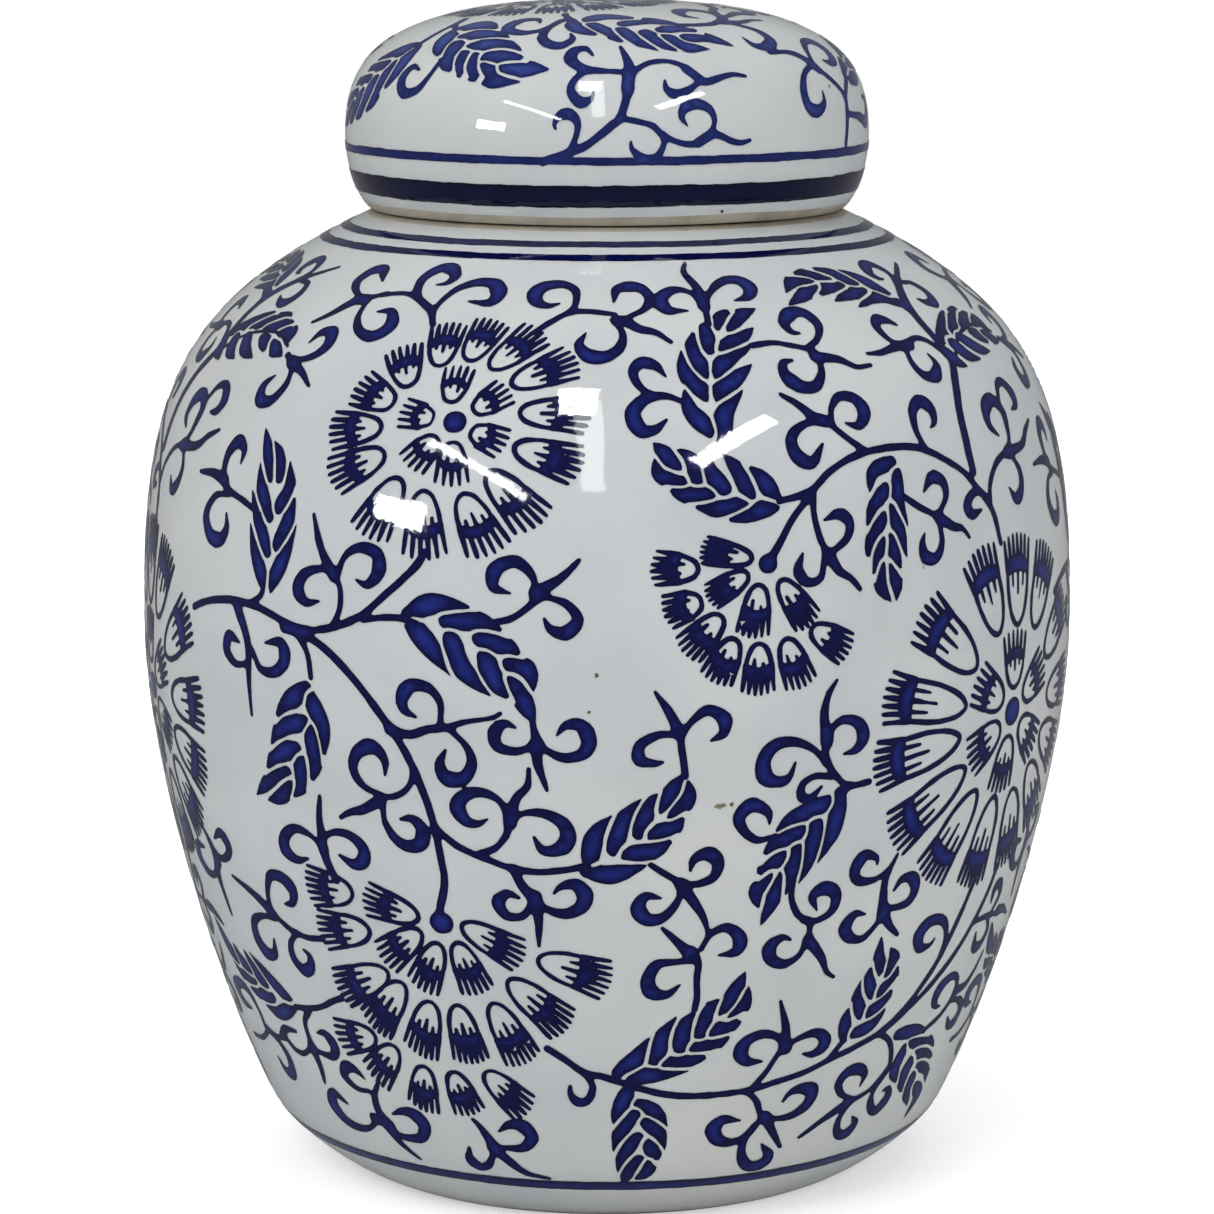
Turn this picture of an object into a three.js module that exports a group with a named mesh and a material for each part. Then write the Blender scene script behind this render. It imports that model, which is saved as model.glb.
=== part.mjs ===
// Ginger jar: a hollow porcelain body with a short neck, and a lift-off cap lid.
// Millimetres, +Z up. The origin is the centre of the foot ring's resting face.

import * as THREE from 'three';

// Driving dimensions
const TOTAL_HEIGHT = 250;
const BELLY_RADIUS = 100;
const BELLY_HEIGHT = 118;
const WALL = 5;
const TURN_STEPS = 56;

// Foot ring and base
const FOOT_OUTER_RADIUS = 57;
const FOOT_INNER_RADIUS = 50.5;
const FOOT_RECESS = 3;
const FOOT_INNER_SLOPE = 1.5;
const FLOOR_TOP = 8.5;
const FLOOR_RADIUS = 54;

// Turn from the base into the side wall
const HEEL_RADIUS = 74.6;
const HEEL_HEIGHT = 15.3;

// Shoulder and neck
const SHOULDER_END_RADIUS = 51.4;
const SHOULDER_END_HEIGHT = 205;
const LEDGE_HEIGHT = 205.8;
const LEDGE_OUTER_RADIUS = 49.8;
const NECK_OUTER_RADIUS = 44;
const NECK_INNER_RADIUS = 39.5;
const NECK_TOP = 219;
const NECK_ROOT_FILLET = 0.8;
const LIP_ROUND = 1.6;

// Lid
const LID_RADIUS = 55.8;
const LID_WIDEST_HEIGHT = 222;
const SEAT_GAP = 0.3;
const RIM_HEIGHT = LEDGE_HEIGHT + SEAT_GAP;
const RIM_OUTER_RADIUS = 50.4;
const RIM_INNER_RADIUS = 46;
const RIM_INNER_TOP = 208.5;

const WHITE_PORCELAIN = { color: 0xd9dad6, roughness: 0.12, metalness: 0 };

function point(radius, height) {
  return new THREE.Vector2(radius, height);
}

// Points along a Bezier arc, without its first point, which ends the stretch before it.
function arc(steps, from, control1, control2, to) {
  const curve = new THREE.CubicBezierCurve(from, control1, control2, to);
  return curve.getPoints(steps).slice(1);
}

// A closed solid of revolution about Z. The profile starts and ends on the axis.
function turned(name, profile, finish) {
  const geometry = new THREE.LatheGeometry(profile, TURN_STEPS);
  geometry.rotateX(Math.PI / 2);
  const mesh = new THREE.Mesh(geometry, new THREE.MeshStandardMaterial(finish));
  mesh.name = name;
  return mesh;
}

// Outside of the body, from the foot ring up to the neck's root.
function bodyOutside() {
  const foot = point(FOOT_OUTER_RADIUS, 0);
  const heel = point(HEEL_RADIUS, HEEL_HEIGHT);
  const belly = point(BELLY_RADIUS, BELLY_HEIGHT);
  const shoulder = point(SHOULDER_END_RADIUS, SHOULDER_END_HEIGHT);
  return [
    foot,
    ...arc(4, foot, point(61, 1.5), point(71.8, 9.3), heel),
    ...arc(7, heel, point(85.2, 38.3), point(BELLY_RADIUS, 85), belly),
    ...arc(10, belly, point(BELLY_RADIUS, 169), point(91, 186), shoulder),
    point(LEDGE_OUTER_RADIUS, LEDGE_HEIGHT),
  ];
}

// The neck: an upright collar with a rounded lip, from its outer root over to its inside.
function neck() {
  return [
    point(NECK_OUTER_RADIUS + NECK_ROOT_FILLET, LEDGE_HEIGHT),
    point(NECK_OUTER_RADIUS, LEDGE_HEIGHT + NECK_ROOT_FILLET),
    point(NECK_OUTER_RADIUS, NECK_TOP - LIP_ROUND),
    point(NECK_OUTER_RADIUS - LIP_ROUND, NECK_TOP),
    point(NECK_INNER_RADIUS + LIP_ROUND, NECK_TOP),
    point(NECK_INNER_RADIUS, NECK_TOP - LIP_ROUND),
  ];
}

// Inside of the body, one wall thickness in from the outside, from the neck to the floor.
function bodyInside() {
  const neckRoot = point(NECK_INNER_RADIUS, LEDGE_HEIGHT);
  const shoulder = point(47, 201);
  const belly = point(BELLY_RADIUS - WALL, BELLY_HEIGHT);
  const heel = point(HEEL_RADIUS - 4.6, HEEL_HEIGHT + 2.7);
  const floor = point(FLOOR_RADIUS, FLOOR_TOP);
  return [
    neckRoot,
    ...arc(3, neckRoot, point(NECK_INNER_RADIUS, 203.4), point(42, 203), shoulder),
    ...arc(8, shoulder, point(87.5, 181.5), point(BELLY_RADIUS - WALL, 166), belly),
    ...arc(6, belly, point(BELLY_RADIUS - WALL, 85), point(80.4, 40.6), heel),
    ...arc(3, heel, point(67.5, 12.8), point(62, FLOOR_TOP), floor),
    point(0, FLOOR_TOP),
  ];
}

function jarBody() {
  const underside = [
    point(0, FOOT_RECESS),
    point(FOOT_INNER_RADIUS - FOOT_INNER_SLOPE, FOOT_RECESS),
    point(FOOT_INNER_RADIUS, 0),
  ];
  const profile = [...underside, ...bodyOutside(), ...neck(), ...bodyInside()];
  return turned('jar_body', profile, WHITE_PORCELAIN);
}

function lid() {
  const insideTop = point(0, TOTAL_HEIGHT - WALL);
  const insideWidest = point(LID_RADIUS - WALL, LID_WIDEST_HEIGHT);
  const insideRim = point(RIM_INNER_RADIUS, RIM_INNER_TOP);
  const outsideRim = point(RIM_OUTER_RADIUS, RIM_HEIGHT);
  const outsideWidest = point(LID_RADIUS, LID_WIDEST_HEIGHT);
  const outsideTop = point(0, TOTAL_HEIGHT);
  const profile = [
    insideTop,
    ...arc(8, insideTop, point(43, TOTAL_HEIGHT - WALL), point(50.8, 235), insideWidest),
    ...arc(3, insideWidest, point(50.8, 216), point(RIM_INNER_RADIUS, 213), insideRim),
    point(RIM_INNER_RADIUS, RIM_HEIGHT),
    outsideRim,
    ...arc(4, outsideRim, point(52.6, 207.2), point(LID_RADIUS, 213.5), outsideWidest),
    ...arc(10, outsideWidest, point(LID_RADIUS, 238.4), point(47.4, TOTAL_HEIGHT), outsideTop),
  ];
  return turned('lid', profile, WHITE_PORCELAIN);
}

const gingerJar = new THREE.Group();
gingerJar.add(jarBody(), lid());

export default gingerJar;
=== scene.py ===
import math

import bpy
import numpy as np
from mathutils import Matrix, Vector
from mathutils.geometry import delaunay_2d_cdt


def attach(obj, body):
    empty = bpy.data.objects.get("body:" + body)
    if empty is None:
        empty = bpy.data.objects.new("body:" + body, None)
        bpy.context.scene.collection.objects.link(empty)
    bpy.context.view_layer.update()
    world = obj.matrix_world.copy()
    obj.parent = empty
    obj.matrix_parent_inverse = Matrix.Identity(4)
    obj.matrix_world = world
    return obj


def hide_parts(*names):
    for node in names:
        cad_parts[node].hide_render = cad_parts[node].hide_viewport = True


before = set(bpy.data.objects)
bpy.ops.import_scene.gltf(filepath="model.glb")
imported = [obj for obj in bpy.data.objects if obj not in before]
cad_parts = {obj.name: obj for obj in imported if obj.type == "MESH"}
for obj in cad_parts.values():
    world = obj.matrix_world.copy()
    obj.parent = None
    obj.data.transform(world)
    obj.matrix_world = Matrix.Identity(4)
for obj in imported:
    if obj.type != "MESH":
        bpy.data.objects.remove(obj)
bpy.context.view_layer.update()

# Lengths are in millimetres until a mesh is made, and +Z is up. An angle runs round the jar from
# its front (-Y) towards +X. The painting on the body is drawn on a flat map (u, s): u is the angle
# times the belly's radius, and s is the way up the wall from the foot. The lid's map is flat too:
# (x, y) from the middle of its top, with the true distance outwards. Every stroke becomes real
# geometry, a thin skin on the glaze. The floor, the lights and the camera are in metres.
MM = 0.001
BELLY_RADIUS = 100.0
# Once round the body's map.
TURN = 2 * BELLY_RADIUS * math.pi
# A radius below this is on the axis.
ON_AXIS = 0.01
# How far the paint stands off the glaze.
FILM = 0.1
# The step of a canvas's grid, and what it holds far from any paint.
CELL = 0.25
NO_PAINT = -4.0
# The bare vein between two lobes of a leaf.
VEIN = 0.68
# How often the body's pattern goes round, and where its front repeat ends, in u.
REPEATS = 3
SEAM = 99.0
# Points along a line that goes once round.
RING_POINTS = 721
GLAZE_IOR = 1.36


# ---------------------------------------------------------------- outlines

def bezier(a, b, c, d, steps=160):
    t = np.linspace(0, 1, steps)[:, None]
    a, b, c, d = (np.array(p, float) for p in (a, b, c, d))
    return (1 - t) ** 3 * a + 3 * (1 - t) ** 2 * t * b + 3 * (1 - t) * t * t * c + t ** 3 * d


def rounded(points, radius):
    """A polyline of straight runs whose inner corners are arcs of about that radius."""
    points = [np.array(p, float) for p in points]
    out = [points[0]]
    for before, corner, after in zip(points, points[1:], points[2:]):
        back = before - corner
        ahead = after - corner
        reach = min(radius, 0.45 * np.linalg.norm(back), 0.45 * np.linalg.norm(ahead))
        start = corner + back * reach / np.linalg.norm(back)
        stop = corner + ahead * reach / np.linalg.norm(ahead)
        for t in np.linspace(0, 1, 9):
            out.append((1 - t) ** 2 * start + 2 * (1 - t) * t * corner + t * t * stop)
    out.append(points[-1])
    dense = [out[0]]
    for a, b in zip(out, out[1:]):
        count = max(1, int(np.linalg.norm(b - a) / 0.5))
        dense += [a + (b - a) * i / count for i in range(1, count + 1)]
    return np.array(dense)


class Profile:
    """An outline in the (r, z) half plane, walked by its length, with its outward normal."""

    def __init__(self, *runs):
        points = np.concatenate(runs)
        step = np.hypot(*np.diff(points, axis=0).T)
        points = points[np.concatenate([[True], step > 1e-6])]
        self.r, self.z = points.T
        self.s = np.concatenate([[0], np.cumsum(np.hypot(*np.diff(points, axis=0).T))])
        slope_r = np.gradient(self.r, self.s)
        slope_z = np.gradient(self.z, self.s)
        size = np.hypot(slope_r, slope_z)
        self.nr = slope_z / size
        self.nz = -slope_r / size
        self.end = self.s[-1]

    def at(self, s):
        return tuple(np.interp(s, self.s, v) for v in (self.r, self.z, self.nr, self.nz))

    def point(self, s, angle, lift=0.0):
        """Places and normals on the turned surface, the places lifted off it."""
        r, z, nr, nz = self.at(s)
        r = r + nr * lift
        place = np.stack([r * np.sin(angle), -r * np.cos(angle), z + nz * lift], -1)
        normal = np.stack([nr * np.sin(angle), -nr * np.cos(angle), nz], -1)
        return place, normal

    def rows(self, start, stop, longest=3.0, turning=0.12):
        """Lengths along the outline close enough together for a smooth turned surface."""
        s = np.linspace(start, stop, max(2, int((stop - start) / 0.1)))
        r, z, nr, nz = self.at(s)
        kept = [0]
        turned = 0.0
        for i in range(1, len(s)):
            turned += math.hypot(nr[i] - nr[i - 1], nz[i] - nz[i - 1])
            if turned > turning or s[i] - s[kept[-1]] > longest:
                kept.append(i)
                turned = 0.0
        if kept[-1] != len(s) - 1:
            kept.append(len(s) - 1)
        return s[kept]


FOOT = bezier((57, 0), (61, 1.5), (71.8, 9.3), (74.6, 15.3))
BELLY = bezier((74.6, 15.3), (85.2, 38.3), (100, 85), (100, 118), 300)
SHOULDER = bezier((100, 118), (100, 169), (91, 186), (51.4, 205), 400)
WALL = Profile(FOOT, BELLY, SHOULDER)

LID_SIDE = bezier((50.4, 206.1), (52.6, 207.2), (55.8, 213.5), (55.8, 222))
LID_CROWN = bezier((55.8, 222), (55.8, 238.4), (47.4, 250), (0, 250), 400)
LID = Profile(LID_SIDE, LID_CROWN)

UNDER = Profile(rounded([(0, 3), (48.6, 3), (49.4, 2.2)], 0.6))
FOOT_RING = Profile(rounded([(49.4, 2.2), (50.5, 0), (56.4, 0), (57, 0)], 0.8))
NECK = Profile(rounded([(51.4, 205), (49.8, 205.8), (44.8, 205.8), (44, 206.6), (44, 217.4),
                        (42.4, 219), (41.1, 219)], 1.0))
INSIDE = Profile(
    rounded([(41.1, 219), (39.5, 217.4), (39.5, 205.8)], 0.8),
    bezier((39.5, 205.8), (39.5, 203.4), (42, 203), (47, 201)),
    bezier((47, 201), (87.5, 181.5), (95, 166), (95, 118)),
    bezier((95, 118), (95, 85), (80.4, 40.6), (70, 18)),
    bezier((70, 18), (67.5, 12.8), (62, 8.5), (54, 8.5)),
    rounded([(54, 8.5), (0, 8.5)], 1),
)
LID_RIM = Profile(rounded([(46, 208.5), (46, 206.1), (50.4, 206.1)], 0.7))
LID_INSIDE = Profile(
    bezier((0, 245), (43, 245), (50.8, 235), (50.8, 222)),
    bezier((50.8, 222), (50.8, 216), (46, 213), (46, 208.5)),
)


def hand(seed, size, waves=(2, 3, 5, 8, 13, 21)):
    """A small uneven ripple round the jar, the same on every run."""
    dice = np.random.default_rng(seed)
    parts = [(w, dice.uniform(0.4, 1) / math.sqrt(w), dice.uniform(0, 2 * math.pi)) for w in waves]

    def ripple(angle):
        return size * sum(a * np.sin(w * angle + p) for w, a, p in parts)

    return ripple


# ---------------------------------------------------------------- meshes

def make_mesh(name, verts, normals, faces, uvs, depth=None):
    """A smooth mesh object with its true normals. uvs has one pair per face corner."""
    mesh = bpy.data.meshes.new(name)
    mesh.from_pydata((verts * MM).tolist(), [], faces)
    layer = mesh.uv_layers.new(name="OFBake")
    layer.data.foreach_set("uv", np.asarray(uvs, np.float32).ravel())
    mesh.polygons.foreach_set("use_smooth", [True] * len(mesh.polygons))
    if depth is not None:
        mark = mesh.attributes.new("depth", "FLOAT", "POINT")
        mark.data.foreach_set("value", np.asarray(depth, np.float32))
    mesh.normals_split_custom_set_from_vertices(normals.tolist())
    mesh.update()
    item = bpy.data.objects.new(name, mesh)
    bpy.context.scene.collection.objects.link(item)
    return item


def shell(name, profile, start=0.0, stop=None, steps=360, edge_start=None, edge_stop=None):
    """Turns part of an outline round Z. An edge function moves that border up and down the wall."""
    stop = profile.end if stop is None else stop
    rows = profile.rows(start, stop)
    angle = np.arange(steps) * 2 * math.pi / steps
    s = np.repeat(rows[:, None], steps, 1)
    # The ripple of an edge dies out over this length.
    fade = 6.0
    if edge_start is not None:
        s = s + edge_start(angle)[None] * np.clip(1 - (rows - start) / fade, 0, 1)[:, None]
    if edge_stop is not None:
        s = s + edge_stop(angle)[None] * np.clip(1 - (stop - rows) / fade, 0, 1)[:, None]
    place, normal = profile.point(s, np.repeat(angle[None], len(rows), 0))
    pole_first = bool(profile.at(start)[0] < ON_AXIS)
    pole_last = bool(profile.at(stop)[0] < ON_AXIS)
    ring = list(range(1 if pole_first else 0, len(rows) - 1 if pole_last else len(rows)))
    verts = place[ring].reshape(-1, 3)
    normals = normal[ring].reshape(-1, 3)
    heights = (rows - start) / (stop - start)
    faces = []
    uvs = []
    for k, (low, high) in enumerate(zip(ring, ring[1:])):
        for j in range(steps):
            n = (j + 1) % steps
            faces.append((k * steps + j, k * steps + n, (k + 1) * steps + n, (k + 1) * steps + j))
            a, b = j / steps, (j + 1) / steps
            uvs += [(a, heights[low]), (b, heights[low]), (b, heights[high]), (a, heights[high])]
    for at_start in [True] * pole_first + [False] * pole_last:
        row = 0 if at_start else len(rows) - 1
        near = 0 if at_start else len(ring) - 1
        tip = len(verts)
        verts = np.vstack([verts, place[row].mean(0)])
        normals = np.vstack([normals, [0, 0, math.copysign(1, normal[row][0][2])]])
        for j in range(steps):
            n = (j + 1) % steps
            a, b = j / steps, (j + 1) / steps
            rim = heights[ring[near]]
            if at_start:
                faces.append((tip, near * steps + n, near * steps + j))
                uvs += [((a + b) / 2, heights[row]), (b, rim), (a, rim)]
            else:
                faces.append((near * steps + j, near * steps + n, tip))
                uvs += [(a, rim), (b, rim), ((a + b) / 2, heights[row])]
    return make_mesh(name, verts, normals, faces, uvs)


# ---------------------------------------------------------------- the painter's canvas

def smooth_path(points, spacing=0.7):
    """A curve through the points, and how far along it each of its points lies, from 0 to 1."""
    p = np.array(points, float)
    if len(p) == 2:
        p = np.array([p[0], p.mean(0), p[1]])
    p = np.vstack([2 * p[0] - p[1], p, 2 * p[-1] - p[-2]])
    out = []
    for a, b, c, d in zip(p, p[1:], p[2:], p[3:]):
        count = max(2, int(np.hypot(*(c - b)) / spacing))
        t = np.linspace(0, 1, count, endpoint=False)[:, None]
        out.append(0.5 * (2 * b + (c - a) * t + (2 * a - 5 * b + 4 * c - d) * t * t
                          + (3 * b - a - 3 * c + d) * t ** 3))
    out.append(p[-2][None])
    line = np.concatenate(out)
    length = np.concatenate([[0], np.cumsum(np.hypot(*np.diff(line, axis=0).T))])
    return line, length / length[-1]


class Canvas:
    """A flat map of a surface that holds how deep inside the paint each point is.

    brush holds the strokes that flow into each other, print the crisp ones and leaf the lobes of
    leaves. beside is the second best lobe at each point, from which the veins come. stretch(y) is
    the true width of a unit of x at that height. A canvas with a period goes round the jar.
    """

    def __init__(self, low, high, stretch, period=None):
        self.low = np.array(low, float)
        self.size = np.round((np.array(high) - self.low) / CELL).astype(int) + 1
        self.stretch = stretch
        self.period = period
        self.brush = np.full((self.size[1], self.size[0]), NO_PAINT, np.float32)
        self.print = self.brush.copy()
        self.leaf = self.brush.copy()
        self.beside = self.brush.copy()

    def stroke(self, path, widths, blend=0.9):
        """One stroke: flowing with a blend, crisp with 0, and the lobe of a leaf with None."""
        shifts = (0,) if self.period is None else (-self.period, 0, self.period)
        for shift in shifts:
            self._stroke(path + [shift, 0], np.asarray(widths) / 2, blend)

    def clear(self, centre, radius):
        """Wipes out a round patch."""
        x = self.low[0] + CELL * np.arange(self.size[0])
        y = self.low[1] + CELL * np.arange(self.size[1])
        outside = np.hypot(x[None] - centre[0], y[:, None] - centre[1]) - radius
        for layer in (self.brush, self.print, self.leaf, self.beside):
            np.minimum(layer, outside, out=layer)

    def _stroke(self, path, radii, blend):
        """Works a stroke into its layer, a short run of its path at a time."""
        halo = 1.5
        run = 6
        margin = radii.max() + halo
        squeeze = self.stretch(path[:, 1])
        reach = np.array([margin / squeeze.min(), margin])
        first = np.floor((path.min(0) - reach - self.low) / CELL).astype(int)
        last = np.ceil((path.max(0) + reach - self.low) / CELL).astype(int) + 1
        first = np.maximum(first, 0)
        last = np.minimum(last, self.size)
        if (last - first < 1).any():
            return
        patch = np.full((last[1] - first[1], last[0] - first[0]), NO_PAINT, np.float32)
        for i in range(0, len(path) - 1, run):
            part = path[i:i + run + 1]
            wide = radii[i:i + run + 1]
            k = float(self.stretch(part[:, 1].mean()))
            near = np.array([margin / k, margin])
            a = np.maximum(np.floor((part.min(0) - near - self.low) / CELL).astype(int), first)
            b = np.minimum(np.ceil((part.max(0) + near - self.low) / CELL).astype(int) + 1, last)
            if (b - a < 1).any():
                continue
            x = (self.low[0] + np.arange(a[0], b[0]) * CELL)[None, :, None] * k
            y = (self.low[1] + np.arange(a[1], b[1]) * CELL)[:, None, None]
            x0, x1 = part[:-1, 0] * k, part[1:, 0] * k
            y0, y1 = part[:-1, 1], part[1:, 1]
            dx, dy = x1 - x0, y1 - y0
            span = np.maximum(dx * dx + dy * dy, 1e-9)
            t = np.clip(((x - x0) * dx + (y - y0) * dy) / span, 0, 1)
            off = np.hypot(x - x0 - t * dx, y - y0 - t * dy)
            deep = (wide[:-1] + t * (wide[1:] - wide[:-1]) - off).max(-1)
            spot = patch[a[1] - first[1]:b[1] - first[1], a[0] - first[0]:b[0] - first[0]]
            np.maximum(spot, deep, out=spot)
        window = (slice(first[1], last[1]), slice(first[0], last[0]))
        if blend is None:
            best = self.leaf[window]
            self.beside[window] = np.maximum(self.beside[window], np.minimum(best, patch))
            np.maximum(best, patch, out=best)
            return
        view = (self.brush if blend else self.print)[window]
        if blend:
            web = np.maximum(blend - np.abs(view - patch), 0) / blend
            view[:] = np.maximum(view, patch) + web * web * blend / 4
        else:
            np.maximum(view, patch, out=view)

    def finish(self, seed):
        """All layers together, with the slightly uneven edge of paint on clay."""
        vein = (self.leaf - self.beside - VEIN) / 2
        self.paint = np.maximum(np.maximum(self.brush, self.print), np.minimum(self.leaf, vein))
        dice = np.random.default_rng(seed)
        for step, size in ((12, 0.10), (5, 0.06)):
            coarse = dice.uniform(-1, 1, (self.size[1] // step + 3, self.size[0] // step + 3))
            if self.period is not None:
                coarse[:, -3:] = coarse[:, :3]
            y = np.arange(self.size[1]) / step
            x = np.arange(self.size[0]) / step
            iy, ix = y.astype(int), x.astype(int)
            fy, fx = (y - iy)[:, None], (x - ix)[None]
            fy, fx = fy * fy * (3 - 2 * fy), fx * fx * (3 - 2 * fx)
            lower = coarse[iy][:, ix] * (1 - fx) + coarse[iy][:, ix + 1] * fx
            upper = coarse[iy + 1][:, ix] * (1 - fx) + coarse[iy + 1][:, ix + 1] * fx
            self.paint += (size * (lower * (1 - fy) + upper * fy)).astype(np.float32)

    def depth(self, points):
        """How deep inside the paint these points of the map are."""
        g = (points - self.low) / CELL
        i = np.clip(np.floor(g).astype(int), 0, self.size - 2)
        f = g - i
        x, y = i.T
        fx, fy = f.T
        p = self.paint
        return ((p[y, x] * (1 - fx) + p[y, x + 1] * fx) * (1 - fy)
                + (p[y + 1, x] * (1 - fx) + p[y + 1, x + 1] * fx) * fy)

    def contours(self, level):
        """Closed outlines of the paint at that depth, each a list of points of the map."""
        past_the_edge = -9
        f = np.pad(self.paint - level, 1, constant_values=past_the_edge)
        inside = (f > 0).astype(int)
        code = inside[:-1, :-1] + 2 * inside[:-1, 1:] + 4 * inside[1:, 1:] + 8 * inside[1:, :-1]
        width = f.shape[1]
        upright = f.size
        # For each pattern of a cell's corners, the edges an outline comes in and goes out by:
        # 0 is below, 1 right, 2 above and 3 left.
        table = {1: "03", 2: "10", 3: "13", 4: "21", 5: "0321", 6: "20", 7: "23", 8: "32", 9: "02",
                 10: "1032", 11: "12", 12: "31", 13: "01", 14: "30"}
        following = {}
        for value, ways in table.items():
            row, col = np.nonzero(code == value)
            cell = row * width + col
            edge = {"0": cell, "1": upright + cell + 1, "2": cell + width, "3": upright + cell}
            for a, b in zip(ways[::2], ways[1::2]):
                following.update(zip(edge[a].tolist(), edge[b].tolist()))
        loops = []
        while following:
            start, here = following.popitem()
            loop = [start]
            while here != start:
                loop.append(here)
                here = following.pop(here)
            loops.append(np.array(loop))
        flat = f.ravel()
        outlines = []
        for loop in loops:
            up = loop >= upright
            cell = loop % upright
            other = np.where(up, cell + width, cell + 1)
            t = flat[cell] / (flat[cell] - flat[other])
            x = cell % width - 1 + np.where(up, 0, t)
            y = cell // width - 1 + np.where(up, t, 0)
            points = np.stack([x, y], 1) * CELL + self.low
            high = self.low + (self.size - 1) * CELL
            outlines.append(np.clip(points, self.low, high))
        return outlines


def thinned(loop, slack=0.02, longest=1.6):
    """The loop with fewer points: one where it has turned enough or gone on long enough."""
    step = np.roll(loop, -1, 0) - loop
    way = np.arctan2(step[:, 1], step[:, 0])
    length = np.hypot(*step.T)
    turn = np.abs((way - np.roll(way, 1) + math.pi) % (2 * math.pi) - math.pi)
    kept = [0]
    gone = turned = 0.0
    # An arc stands off its chord by about an eighth of its length times its turn.
    for i in range(1, len(loop)):
        gone += length[i - 1]
        turned += turn[i]
        if gone * turned > 8 * slack or gone > longest:
            kept.append(i)
            gone = turned = 0.0
    return loop[kept] if len(kept) > 2 else None


def painted_skin(canvas):
    """Triangles that fill the paint, with points on its edge, inside its edge and in its middle."""
    points = []
    edges = []
    for level, fewest, slack in ((0.0, 8, 0.02), (0.45, 6, 0.05)):
        for loop in canvas.contours(level):
            loop = thinned(loop, slack) if len(loop) >= fewest else None
            if loop is None:
                continue
            if level == 0:
                base = len(points)
                edges += [(base + i, base + (i + 1) % len(loop)) for i in range(len(loop))]
            points += loop.tolist()
    pitch = 5
    middle_depth = 0.8
    rows, cols = np.nonzero(canvas.paint[::pitch, ::pitch] > middle_depth + 0.05)
    inner = np.stack([cols + 0.5 * (rows % 2), rows], 1) * pitch * CELL + canvas.low
    inner = inner[canvas.depth(inner) > middle_depth]
    points += inner.tolist()
    found = delaunay_2d_cdt([Vector(p) for p in points], edges, [], 0, 1e-6, False)
    flat = np.array([tuple(v) for v in found[0]])
    faces = np.array([f for f in found[2] if len(f) == 3])
    middle = flat[faces].mean(1)
    faces = faces[canvas.depth(middle) > 0]
    return flat, faces, np.maximum(canvas.depth(flat), 0)


def skin_piece(name, flat, faces, depth, place, normal, uv):
    """One piece of painting from those faces of the skin."""
    used, faces = np.unique(faces, return_inverse=True)
    faces = faces.reshape(-1, 3)
    corner = uv[used][faces.ravel()]
    return make_mesh(name, place[used], normal[used], faces.tolist(), corner, depth[used])


# ---------------------------------------------------------------- strokes

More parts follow.
